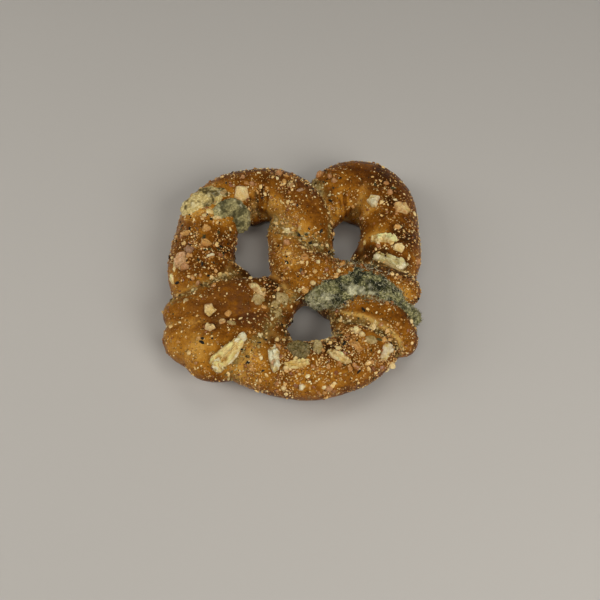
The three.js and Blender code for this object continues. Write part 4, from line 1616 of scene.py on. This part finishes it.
FLAKES: tuple[Flake, ...] = (
    Flake(-29.4, -51.5, 18, 7.4, 49, Tint.STRAW, Form.BAND, 0.05, 0.3),
    Flake(-24, -45.6, 8, 4.6, 56, Tint.WHITE, Form.SLAB, 0.05, -0.1),
    Flake(-33.6, -56.6, 6.4, 7.4, 45, Tint.WHITE, Form.SLAB, 0.1, -0.1),
    Flake(-31.6, -50.4, 11, 2.2, 50, Tint.WHITE, Form.MELT),
    Flake(-26.8, -53.4, 9, 2, 54, Tint.WHITE, Form.MELT),
    Flake(9, 49.6, 4.6, 3.6, 60, Tint.GREY, Form.MELT, 0.1),
    Flake(-41.8, 27.4, 6, 3.2, -20, Tint.STRAW, Form.MELT, 0.3),
    Flake(-38.4, 24.2, 5.4, 2.8, 15, Tint.CREAM, Form.MELT, 0.3),
    Flake(-44.5, 24.8, 4, 2.6, 40, Tint.CREAM, Form.MELT, 0.4),
    Flake(10.8, 45.4, 3.4, 6.5, 20, Tint.GREY, Form.MELT, 0.1),
    Flake(13.2, 40.8, 2.6, 5, 10, Tint.GREY, Form.MELT, 0.1),
    Flake(-8.6, -24.6, 5, 4.4, 10, Tint.GREY, Form.MELT, 0.1),
    Flake(45.9, -1.2, 17.5, 5.2, -22, Tint.GREEN, Form.BAND, 0.05, 0.1),
    Flake(47.6, -4.4, 11, 3.6, -25, Tint.GREY, Form.MELT, 0.1),
    Flake(46.2, -0.6, 4.4, 2.2, -20, Tint.CREAM, Form.MELT),
    Flake(52, -3.6, 3.6, 3.2, 30, Tint.GREY, Form.CHIP, 0.1),
    Flake(40, 1.2, 5, 3.6, -30, Tint.WHITE, Form.BEAD, 0.05),
    Flake(50.5, -3.6, 6, 5, 20, Tint.WHITE, Form.BEAD, 0.05),
    Flake(43.2, 10.8, 13.4, 5.2, -13, Tint.CREAM, Form.SLAB, 0.0, 0.1),
    Flake(48, 11, 3.6, 2.6, -20, Tint.TAN, Form.MELT, 0.2),
    Flake(39.8, 35.4, 8.6, 6.8, 100, Tint.WHITE, Form.CHIP, 0.15, -0.25),
    Flake(53.3, 29.7, 10.4, 8.2, 0, Tint.CREAM, Form.CHIP, 0.6),
    Flake(53.8, 29.4, 3.6, 3.2, 0, Tint.CREAM, Form.RING, 0.2),
    Flake(50.1, 5.2, 6.2, 5.4, 0, Tint.CREAM),
    Flake(-27.3, 40, 9.6, 8.4, -10, Tint.CREAM, Form.CHIP, 0.25),
    Flake(-36.4, 39.4, 5, 4.2, 10, Tint.GREY, Form.FLAP, 0.3),
    Flake(-38.6, -30, 6.2, 6.8, 60, Tint.CREAM, Form.CHIP, 0.25),
    Flake(-38, -38.4, 5.2, 4.2, -20, Tint.CREAM, Form.CHIP, 0.3),
    Flake(-32.7, -34.9, 3.6, 3.4, 0, Tint.CREAM, Form.RING, 0.5),
    Flake(-30.4, -30.7, 4, 3.8, 0, Tint.TAN, Form.CHIP, 0.3),
    Flake(-28.3, -36.4, 5.4, 3, -35, Tint.GREY, Form.MELT, 0.1),
    Flake(-17.2, -19.2, 9.8, 4.2, -31, Tint.CREAM, Form.SLAB, 0.4, -0.2),
    Flake(-16.4, -24, 6.6, 6, 40, Tint.GREY, Form.MELT, 0.15),
    Flake(-9.6, 28.4, 3.4, 7.5, 12, Tint.GREY, Form.MELT, 0.1),
    Flake(-5.3, -21.2, 7.6, 7.6, 30, Tint.GREY, Form.MELT, 0.1),
    Flake(-7.5, -28.3, 6, 3.6, 80, Tint.GREY, Form.MELT, 0.1),
    Flake(-8.8, -53.7, 13.2, 5.4, 95, Tint.WHITE, Form.SLAB, 0.05),
    Flake(-8.5, -56.4, 4.6, 3.8, 80, Tint.BLUSH, Form.CHIP, 0.1),
    Flake(2.3, -48.6, 11.5, 14.5, 10, Tint.OLIVE, Form.FLAP, 0.05),
    Flake(1.4, -56.8, 12, 4.6, 8, Tint.STRAW, Form.SLAB, 0.1),
    Flake(10.6, -48, 5, 8.4, 0, Tint.GREY, Form.FLAP, 0.0),
    Flake(19.6, -53.2, 12.4, 4.8, -33, Tint.CREAM, Form.SLAB, 0.15, -0.1),
    Flake(27.5, -47.5, 8, 3.6, -42, Tint.TAN, Form.BAND, 0.3),
    Flake(41.1, -48.6, 9.8, 4.6, 75, Tint.WHITE, Form.SLAB, 0.25, -0.2),
    Flake(44, -51.5, 3.8, 3.4, 0, Tint.CREAM, Form.BEAD, 0.1),
    Flake(28.3, -39.5, 4.6, 3.6, 20, Tint.CREAM),
    Flake(30.6, -41.6, 3, 2.6, 0, Tint.CREAM, Form.BEAD),
    Flake(35, -37.3, 4, 2.4, -20, Tint.CREAM, Form.MELT),
    Flake(34.4, -44.2, 6.2, 5, 0, Tint.GREY, Form.MELT, 0.1),
    Flake(-50.7, 4.2, 5.4, 4.6, 20, Tint.MAUVE, Form.CHIP, 0.2),
    Flake(-54.6, -0.6, 9.4, 7.2, 62, Tint.BLUSH, Form.CURL, 0.1),
    Flake(-57.2, -2.4, 7, 2.6, 70, Tint.CREAM, Form.MELT, 0.1),
    Flake(-52.2, -5, 5, 4, 20, Tint.PINK, Form.CHIP, 0.1),
    Flake(-42.8, 7.8, 6.6, 4.4, 0, Tint.TAN, Form.CHIP, 0.3),
    Flake(-53.2, 14.4, 5, 3.6, 0, Tint.TAN),
    Flake(-43, 16.7, 4.6, 4, 0, Tint.TAN),
    Flake(-40.5, 1, 4.8, 1.7, 30, Tint.WHITE),
    Flake(-35.4, -7.9, 2.4, 2.4, 0, Tint.STRAW, Form.BEAD),
    Flake(-54.3, -4.4, 2.6, 2.6, 0, Tint.CREAM, Form.BEAD),
    Flake(-58.8, -8.5, 6.5, 3.2, 100, Tint.CREAM, Form.MELT, 0.1),
    Flake(-45.3, -13.9, 2.9, 2.2, 60, Tint.PINK, Form.BEAD),
    Flake(-47.3, -18.9, 2.6, 2.6, 0, Tint.GREEN, Form.MELT),
    Flake(-49.9, -24.3, 3, 2.4, 0, Tint.GREY, Form.MELT),
    Flake(-4, 16.6, 4.6, 4, -20, Tint.WHITE),
    Flake(-3.9, 7.2, 4, 3.4, 0, Tint.PINK, Form.CHIP, 0.3),
    Flake(4.8, -3.3, 4, 4, 0, Tint.TAN, Form.RING, 0.3),
    Flake(-2.1, 41, 4, 3.4, 0, Tint.GREY, Form.RING, 0.3),
    Flake(46.5, 45.7, 2.9, 2.9, 0, Tint.PINK, Form.RING, 0.7),
    Flake(48, 39.4, 3.2, 3.2, 0, Tint.PINK, Form.BEAD, 0.5),
    Flake(-8.1, 50.5, 4, 3.2, 0, Tint.PINK, Form.BEAD, 0.4),
    Flake(-21.8, 45.6, 3, 2.8, 0, Tint.PINK, Form.BEAD, 0.1),
    Flake(-26.6, 49.8, 2.4, 2.4, 0, Tint.PINK, Form.BEAD, 0.3),
    Flake(2.6, 37.3, 4, 2.6, 20, Tint.MAUVE, Form.MELT, 0.1),
    Flake(13, 55.4, 5, 4, 0, Tint.PINK, Form.BEAD, 0.5),
    Flake(20, 47.8, 3.2, 3, 0, Tint.PINK, Form.BEAD, 0.2),
    Flake(18, 50.8, 2.6, 2.6, 0, Tint.PINK, Form.BEAD, 0.3),
    Flake(50, 17.5, 4, 3, 0, Tint.TAN),
    Flake(34.5, 13, 4, 3, 90, Tint.CREAM, Form.MELT),
    Flake(59.4, 1.5, 2.6, 4, 0, Tint.PINK, Form.BEAD, 0.5),
    Flake(5, -18.6, 4, 3.4, 0, Tint.TAN, Form.BEAD, 0.05),
    Flake(8.6, -16.3, 3, 2.6, 0, Tint.CREAM, Form.BEAD),
    Flake(3.4, -65.5, 3.8, 3.2, 0, Tint.WHITE, Form.CHIP, 0.2),
    Flake(-4.6, -65.4, 2.6, 2.4, 0, Tint.CREAM, Form.BEAD, 0.2),
    Flake(15.3, -65.6, 4, 3.2, 0, Tint.PINK, Form.BEAD, 0.4),
    Flake(-7.8, -43.3, 2.4, 2.8, 0, Tint.CREAM, Form.BEAD, 0.4),
    Flake(-3.6, -58.4, 2.8, 2.6, 0, Tint.CREAM, Form.BEAD, 0.2),
    Flake(-19, -57.6, 2.8, 2.4, 0, Tint.TAN, Form.BEAD, 0.2),
)

SPECKS: tuple[tuple[float, float, float], ...] = (  # x, y and size
    (3.1, -10.7, 2.5), (3.1, 13.4, 1.4), (-12.7, -43.7, 1.5), (-16.2, -45.6, 1.2), (-27.5, -48.6, 1.3),
    (-31.5, -49, 2.2), (-55.8, 21, 1.9), (-48.9, 19.5, 1.3), (-26.1, 25.1, 1.4), (-9.9, 36.7, 1.2),
    (1.1, 28.5, 2.0), (43.7, 10.7, 1.2), (45.9, -2.4, 1.9), (26.4, -25.1, 2.1), (28.3, -23.6, 1.9),
    (23.3, -25.8, 2.0), (2.6, -57.8, 1.5), (-5.9, -47.9, 1.6), (-13.7, -58.8, 1.9), (-48.8, -11.8, 1.6),
    (-43.9, -14.5, 1.3), (19.5, -48.5, 1.6), (-35, 45.7, 1.9), (-16.7, 39.7, 1.6), (-6.7, -52.3, 1.8),
    (-3.6, -49, 1.4), (20, -36.5, 1.9),
)


@dataclass(frozen=True)
class Seat:
    """Where a flake lies: its middle on the crust, and the ways along it, across it and outwards."""

    spot: Vector
    along: Vector
    across: Vector
    outward: Vector


@dataclass(frozen=True)
class LaidFlake:
    """One flake as made: its body, and the tint and toast of each vertex."""

    body: Body
    tint: np.ndarray
    toast: np.ndarray


@dataclass
class Flakes:
    """The larger flakes and dark specks, each let down onto the crust so that it bends over the rope."""

    sunk: float = 0.7 * MM
    seated: float = 0.05 * MM
    finest: float = 0.4 * MM
    probe: float = 60 * MM
    lowest: float = 5 * MM
    edge_height: float = 14 * MM
    ray_reach: float = 8 * MM
    overhang: float = 2 * MM
    lump_size: float = 2.4 * MM
    grit_size: float = 0.9 * MM
    grit_share: float = 0.6
    wedge: float = 0.3
    dip: float = 0.5
    # Raised lumps painted lighter and hollows darker, colour by colour, and the edge darker: painted
    # highlight and painted shade.
    relief_light_and_shade: tuple[float, float, float] = (0.5, 0.7, 1.3)
    rim_shade: float = 0.25
    shade_range: tuple[float, float] = (0.3, 1.3)
    seed: int = 21

    def build(self, skin: Skin, finish: bpy.types.Material) -> bpy.types.Object:
        """Lays every flake and speck on the skin.

        Args:
            skin: The crust.
            finish: The flakes' material.

        Returns:
            One object with all of them.
        """
        surface = skin.tree()
        rng = np.random.default_rng(self.seed)
        laid = [self._lay(surface, flake, rng) for flake in (*FLAKES, *self._specks(rng))]
        mesh = plain_mesh("flakes", joined(flake.body for flake in laid))
        shade_smooth(mesh)
        tints = np.vstack([flake.tint for flake in laid]).clip(0, 1)
        colours = np.column_stack([tints, np.ones(len(tints))])
        mesh.attributes.new("tint", "FLOAT_COLOR", "POINT").data.foreach_set("color", colours.ravel())
        toasts = np.concatenate([flake.toast for flake in laid])
        mesh.attributes.new("toast", "FLOAT", "POINT").data.foreach_set("value", toasts)
        mesh.materials.append(finish)
        mesh.update()
        return new_object("flakes", mesh)

    @staticmethod
    def _specks(rng: np.random.Generator) -> list[Flake]:
        """The dark specks as flakes, each narrowed and turned at random."""
        return [Flake(x, y, size, size * rng.uniform(0.5, 0.9), rng.uniform(0, 180), Tint.BLACK,
                      Form.SPECK, 0) for x, y, size in SPECKS]

    def _lay(self, surface: BVHTree, flake: Flake, rng: np.random.Generator) -> LaidFlake:
        """Makes one flake as a closed body on the crust.

        Args:
            surface: The crust, for rays.
            flake: What and where it is.
            rng: The draw for its outline.

        Returns:
            The flake.
        """
        cut = flake.form.value
        half = np.array([flake.length, flake.width]) * MM / 2
        sides = int(np.clip(math.pi * half.sum() / self.finest, 12, 120))
        rings = int(np.clip(half.min() / self.finest, 3, 12))
        share = np.linspace(0.04, 1, rings) ** 0.9
        edge = cut.outline(sides, rng)
        edge[:, 1] *= 1 - flake.taper * edge[:, 0]
        lean = np.cos(np.linspace(0, TURN, sides, endpoint=False) + rng.uniform(0, TURN))
        plan = self._plan(edge * half, half, share)
        level = np.concatenate([[0], np.repeat(share, sides)])
        lumps, grit = (self._roughness(flake, plan, size) for size in (self.lump_size, self.grit_size))
        relief = cut.lumpiness * (lumps + self.grit_share * grit)
        dip = cut.hollow * np.exp(-((level / self.dip) ** 4))
        rise = (1 - level**cut.steepness) ** 0.5 * (1 - dip)
        rise[1:] *= 1 + self.wedge * np.tile(lean, rings) * level[1:]
        height = cut.thickness * MM * min(1, 0.3 + flake.width / 6) * rise * (1 + relief)
        seat = self._seat(surface, flake)
        ground = np.array([self._ground(surface, seat.spot + seat.along * u + seat.across * v, seat.outward)
                           for u, v in plan])
        normal = np.array(seat.outward)
        top = ground + normal * (height - self.seated)[:, None]
        toast = np.clip(flake.toast * (0.9 + 1.6 * lumps + 0.8 * level**3) + dip, 0, 1)
        # Painted highlight on the raised lumps, painted shade in the hollows and along the edge.
        shade = np.outer(relief, self.relief_light_and_shade) - self.rim_shade * level[:, None] ** 6
        tint = np.array(flake.tint.value) * np.clip(1 + shade, *self.shade_range)
        body = (np.vstack([top, ground - normal * self.sunk]), closed_faces(rings, sides))
        return LaidFlake(body, np.vstack([tint, tint]), np.concatenate([toast, toast]))

    @staticmethod
    def _plan(edge: np.ndarray, half: np.ndarray, share: np.ndarray) -> np.ndarray:
        """Fills a flake's outline with rings that shrink towards its long middle line.

        Args:
            edge: The outline in metres.
            half: Half its length and width.
            share: Each ring's share of the way out to the outline.

        Returns:
            The middle point and then the rings, one row for each point.
        """
        spine = np.zeros_like(edge)
        reach = max(half[0] - half[1], 0)
        spine[:, 0] = np.clip(edge[:, 0], -reach, reach)
        return np.concatenate([[[0, 0]], *(spine + s * (edge - spine) for s in share)])

    @staticmethod
    def _roughness(flake: Flake, plan: np.ndarray, size: float) -> np.ndarray:
        """Lumps of a given size over a flake's plan, from about -1 to 1."""
        return np.array([noise.noise((u / size + flake.x, v / size + flake.y, flake.turn + size / MM))
                         for u, v in plan])

    def _seat(self, surface: BVHTree, flake: Flake) -> Seat:
        """Finds where a flake lies: under its place from above, or near it where that misses the rope.

        Args:
            surface: The crust, for rays.
            flake: The flake.

        Returns:
            Its seat.
        """
        x, y, turn = flake.x * MM, flake.y * MM, math.radians(flake.turn)
        spot, outward, *_ = surface.ray_cast(Vector((x, y, self.probe)), Vector((0, 0, -1)))
        if spot is None or spot.z < self.lowest:
            spot, outward, *_ = surface.find_nearest(Vector((x, y, self.edge_height)))
        across = outward.cross(Vector((math.cos(turn), math.sin(turn), 0))).normalized()
        return Seat(spot, across.cross(outward), across, outward)

    def _ground(self, surface: BVHTree, above: Vector, outward: Vector) -> Vector:
        """Lets a point down on the crust.

        Args:
            surface: The crust, for rays.
            above: The point.
            outward: The way back out.

        Returns:
            Where it lands, or a little under the point where it misses.
        """
        landing, *_ = surface.ray_cast(above + outward * self.ray_reach, -outward, 2 * self.ray_reach)
        return landing if landing is not None else above - outward * self.overhang


def closed_faces(rings: int, sides: int) -> Faces:
    """Makes the faces of a flake whose top and bottom are alike round grids with a middle point.

    Args:
        rings: How many rings each grid has.
        sides: How many points a ring has.

    Returns:
        The faces of the top, the bottom and the wall between their last rings.
    """
    rim, below = 1 + (rings - 1) * sides, 1 + rings * sides
    wall = [(rim + j, below + rim + j, below + rim + (j + 1) % sides, rim + (j + 1) % sides)
            for j in range(sides)]
    return grid_faces(rings, sides, 0, False) + grid_faces(rings, sides, below, True) + wall


def grid_faces(rings: int, sides: int, start: int, flipped: bool) -> Faces:
    """Makes the faces of a round grid with a middle point.

    Args:
        rings: How many rings it has.
        sides: How many points a ring has.
        start: The number of its middle point, before those of its rings.
        flipped: Whether it faces down.

    Returns:
        The faces.
    """
    faces: Faces = []
    for j in range(sides):
        k = (j + 1) % sides
        faces.append((start, start + 1 + j, start + 1 + k))
        faces += [(start + 1 + i * sides + j, start + 1 + (i + 1) * sides + j,
                   start + 1 + (i + 1) * sides + k, start + 1 + i * sides + k) for i in range(rings - 1)]
    return [face[::-1] for face in faces] if flipped else faces


# ---- mould ----
@dataclass
class Mould:
    """One growth's ridges of mould, with the maps that its material and its threads read."""

    growth: Growth
    voxel: float = 0.38 * MM
    lowest: float = 0.3 * MM
    swell: Rough = Rough(3.4 * MM, seed=11, octaves=2, strength=0.8 * MM)
    clump: Rough = Rough(1.7 * MM, seed=11, strength=0.75 * MM)
    fluff: Rough = Rough(0.9 * MM, seed=12, octaves=2, strength=0.22 * MM)
    patchiness: Rough = Rough(4.2 * MM, seed=13, octaves=3)
    clouds: Rough = Rough(3 * MM, seed=17, octaves=2, strength=0.9)
    contrast: float = 2.4
    pale_spots: tuple[Patch, ...] = patches(
        (26.7, -20.6, 3.0, 1.1), (31.5, -21.6, 2.6, 0.5), (36, -21.8, 2.8, 0.45), (8, -22.5, 3, 0.9),
        (13.5, -27, 4, 0.6), (25.3, -12, 3, 0.5), (-52.5, 27, 5, 0.35),
    )
    dark_spots: tuple[Patch, ...] = patches(
        (21, -15, 3, 0.6), (29.5, -15.5, 2.6, 0.7), (31.5, -11, 3.5, 0.5), (37, -18, 3.5, 0.5),
        (41, -19, 4, 0.3), (21.5, -24, 2.5, 0.5), (26, -12.5, 3, -0.5), (10, -21, 5, -0.35),
        (17, -20, 4, -0.2), (55, -27.5, 6, -0.35), (-54, 26, 6, -0.25), (-43, 37.5, 5, 0.4),
        (-37, 41, 6, 0.7), (-30, 34, 3, 0.4),
    )

    def build(self, finish: bpy.types.Material) -> bpy.types.Object:
        """Fuses this growth's ridges, roughens them into small clumps and paints their maps.

        Args:
            finish: Its material.

        Returns:
            The growth.
        """
        sweep = Sweep(sides=24, ring_step=1.2 * MM)
        name = f"mould_{self.growth.name.lower()}"
        ridges = [sweep.surface(ridge.stations) for ridge in MOULD if ridge.growth is self.growth]
        mesh = fused(name, ridges, self.voxel)
        skin = Skin(mesh)
        skin.raise_base(self.lowest)
        skin.smooth(3)
        clumps = skin.clumps(self.clump)
        skin.push(skin.relief(self.swell) + self.clump.strength * (clumps - 0.5) + skin.relief(self.fluff))
        patchy = skin.noise(self.patchiness)
        spots = patched(skin.co, 0.0, self.dark_spots)
        # The dark map rises between the clumps, painted shade in the crevices; the pale map rises on the
        # clumps' tops.
        dark = self.growth.value[3] + spots + 1.1 * patchy + 0.35 * (0.45 - clumps)
        pale = patched(skin.co, -0.25, self.pale_spots) + skin.relief(self.clouds) + 0.5 * (clumps - 0.5)
        skin.paint("dark", 0.5 + self.contrast * (dark - 0.5))
        skin.paint("pale", pale)
        skin.paint("fuzz", 0.75 + 0.5 * patchy - 0.7 * spots)
        shade_smooth(mesh)
        mesh.materials.append(finish)
        return new_object(name, mesh)


# ---- floor, light and camera ----
@dataclass(frozen=True)
class Lamp:
    """A square soft lamp aimed at the pretzel: its place and width in metres, and its watts."""

    name: str
    place: Point
    width: float
    power: float


@dataclass
class Studio:
    """A plain floor, soft light from above and the camera."""

    floor_size: float = 2.4
    lamps: tuple[Lamp, ...] = (
        Lamp("window", (0.52, -0.52, 0.52), 0.5, 4.88),
        Lamp("left lamp", (-0.74, 0.0, 0.52), 0.5, 3.05),
        Lamp("near lamp", (-0.21, -0.37, 0.8), 0.4, 1.1),
        Lamp("far lamp", (0.21, 0.37, 0.8), 0.4, 1.05),
    )
    lamp_colour: Colour = (1.0, 0.97, 0.91)
    room_colour: Colour = (1.0, 0.955, 0.885)
    room_light: float = 0.05
    camera_target: Point = (2.6, -9.6, 0.0)
    camera_distance: float = 380.0
    camera_elevation: float = 58.0
    sensor_width: float = 36.0
    focal_pixels: float = 765.0
    image_pixels: float = 600.0

    def build(self, effects: Effects) -> None:
        """Sets the floor, the lamps, the room's light and the camera.

        Args:
            effects: The shared shader effects.
        """
        self._floor(FloorFinish().build(effects))
        for lamp in self.lamps:
            self._softbox(lamp)
        self._room()
        self._camera()
        bpy.context.scene.view_settings.view_transform = "Standard"

    def _floor(self, finish: bpy.types.Material) -> None:
        """Lays a wide flat sheet at the table's level.

        Args:
            finish: Its material.
        """
        half = self.floor_size / 2
        corners = np.array([(-half, -half, 0), (half, -half, 0), (half, half, 0), (-half, half, 0)])
        mesh = plain_mesh("floor", (corners, [(0, 1, 2, 3)]))
        mesh.materials.append(finish)
        new_object("floor", mesh)

    def _softbox(self, lamp: Lamp) -> None:
        """Hangs one lamp.

        Args:
            lamp: What and where it is.
        """
        light = bpy.data.lights.new(lamp.name, "AREA")
        light.size = lamp.width
        light.energy = lamp.power
        light.color = self.lamp_colour
        hung = bpy.data.objects.new(lamp.name, light)
        hung.location = lamp.place
        hung.rotation_euler = (-Vector(lamp.place)).to_track_quat("-Z", "Y").to_euler()
        bpy.context.scene.collection.objects.link(hung)

    def _room(self) -> None:
        """Sets the even light from all round."""
        world = bpy.data.worlds.new("room")
        world.use_nodes = True
        sky = world.node_tree.nodes["Background"]
        sky.inputs["Color"].default_value = padded(self.room_colour)
        sky.inputs["Strength"].default_value = self.room_light
        bpy.context.scene.world = world

    def _camera(self) -> None:
        """Sets the camera, which looks down at the pretzel from the belly's side."""
        data = bpy.data.cameras.new("camera")
        data.sensor_width = self.sensor_width
        data.lens = self.sensor_width * self.focal_pixels / self.image_pixels
        data.clip_start = 0.01
        data.clip_end = 10.0
        camera = bpy.data.objects.new("camera", data)
        lift = math.radians(self.camera_elevation)
        back = Vector((0, -math.cos(lift), math.sin(lift)))
        camera.location = (Vector(self.camera_target) + back * self.camera_distance) * MM
        camera.rotation_euler = (-back).to_track_quat("-Z", "Y").to_euler()
        bpy.context.scene.collection.objects.link(camera)
        bpy.context.scene.camera = camera


# ---- the toppings of this pretzel ----
GRANULES = Sprinkle(
    name="granules", where="granules", density=170000, spacing=1.3 * MM, smallest=0.35 * MM,
    largest=1.1 * MM, stretch=1.6, flatness=0.65, jaggedness=1.3, fineness=2, rise=0.15, tilt=0.6, seed=3)
CRUMBS = Sprinkle(
    name="crumbs", where="granules", density=1300000, spacing=0.6 * MM, smallest=0.2 * MM,
    largest=0.55 * MM, stretch=1.7, flatness=0.8, jaggedness=1.2, fineness=1, rise=0.2, tilt=0.6, seed=14)
HERBS = Sprinkle(
    name="herbs", where="herbs", density=220000, spacing=0.7 * MM, smallest=0.24 * MM,
    largest=0.9 * MM, stretch=2.2, flatness=0.35, jaggedness=0.7, fineness=1, rise=0.25, tilt=0.4, seed=27)
FILLING = Sprinkle(
    name="filling", where="filling", density=1500000, spacing=0.7 * MM, smallest=0.25 * MM,
    largest=0.9 * MM, stretch=1.8, flatness=0.6, jaggedness=1.3, fineness=1, rise=0.25, tilt=0.8, seed=41)
FRINGE = Sprinkle(
    name="fringe", where="fringe", density=2500000, spacing=0.35 * MM, smallest=0.4 * MM,
    largest=1.3 * MM, stretch=1.2, flatness=1.0, jaggedness=0.2, fineness=1, rise=0.0, tilt=1.3, seed=52,
    shape=Shape.THREAD)
FUZZ = Sprinkle(
    name="fuzz", where="fuzz", density=4000000, spacing=0.25 * MM, smallest=0.3 * MM,
    largest=0.8 * MM, stretch=1.2, flatness=1.0, jaggedness=0.2, fineness=1, rise=0.0, tilt=1.2, seed=63,
    shape=Shape.THREAD)

GRANULE_FINISH = SprinkleFinish("granule", (
    (0.0, (0.26, 0.08, 0.015)), (0.2, (0.46, 0.19, 0.035)), (0.45, (0.74, 0.41, 0.11)),
    (0.75, (0.97, 0.69, 0.27)), (1.0, (1.0, 0.87, 0.48))), (0.16, 0.36), 0.7)
HERB_FINISH = SprinkleFinish("herb", (
    (0.0, (0.012, 0.010, 0.006)), (0.5, (0.022, 0.018, 0.009)), (0.75, (0.07, 0.06, 0.018)),
    (1.0, (0.18, 0.15, 0.05))), (0.35, 0.6), 0.2)
FILLING_FINISH = SprinkleFinish("fold filling", (
    (0.0, (0.14, 0.085, 0.022)), (0.2, (0.26, 0.17, 0.05)), (0.5, (0.42, 0.30, 0.10)),
    (0.8, (0.64, 0.50, 0.22)), (1.0, (0.88, 0.76, 0.44))), (0.6, 0.9), 0.15)
THREAD_FINISH = SprinkleFinish("mould thread", (
    (0.0, (0.07, 0.07, 0.03)), (0.3, (0.22, 0.215, 0.10)), (0.7, (0.56, 0.53, 0.32)),
    (1.0, (0.92, 0.88, 0.68))), (0.7, 0.9), 0.15)


def reported(piece: bpy.types.Object) -> bpy.types.Object:
    """Rides a piece on the pretzel's body and reports it.

    Args:
        piece: The finished piece.

    Returns:
        The same piece.
    """
    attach(piece, BODY)
    piece.data.calc_loop_triangles()
    log.info("%s: %d triangles", piece.name, len(piece.data.loop_triangles))
    return piece


def main() -> None:
    """Builds the studio, the pretzel, its toppings and its mould, and notes the sizes."""
    logging.basicConfig(level=logging.INFO, format="%(name)s: %(message)s")
    effects = Effects()
    Studio().build(effects)
    skin = Crust().build()
    skin.mesh.materials.append(CrustFinish().build(effects))
    crust = reported(new_object("crust", skin.mesh))
    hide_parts(NODE)
    reported(Flakes().build(skin, FlakeFinish().build(effects)))
    granule = GRANULE_FINISH.build(effects)
    thread = THREAD_FINISH.build(effects)
    for sprinkle, finish, slot in (
            (GRANULES, granule, "flake"), (CRUMBS, granule, "flake"),
            (HERBS, HERB_FINISH.build(effects), "herb"),
            (FILLING, FILLING_FINISH.build(effects), "mould"), (FRINGE, thread, "mould")):
        reported(sprinkle.strew(skin.mesh, finish))
    for growth in Growth:
        mould = reported(Mould(growth).build(MouldFinish(growth).build(effects)))
        if growth is Growth.FOREST:
            reported(FUZZ.strew(mould.data, thread))


if __name__ == "__main__":
    main()
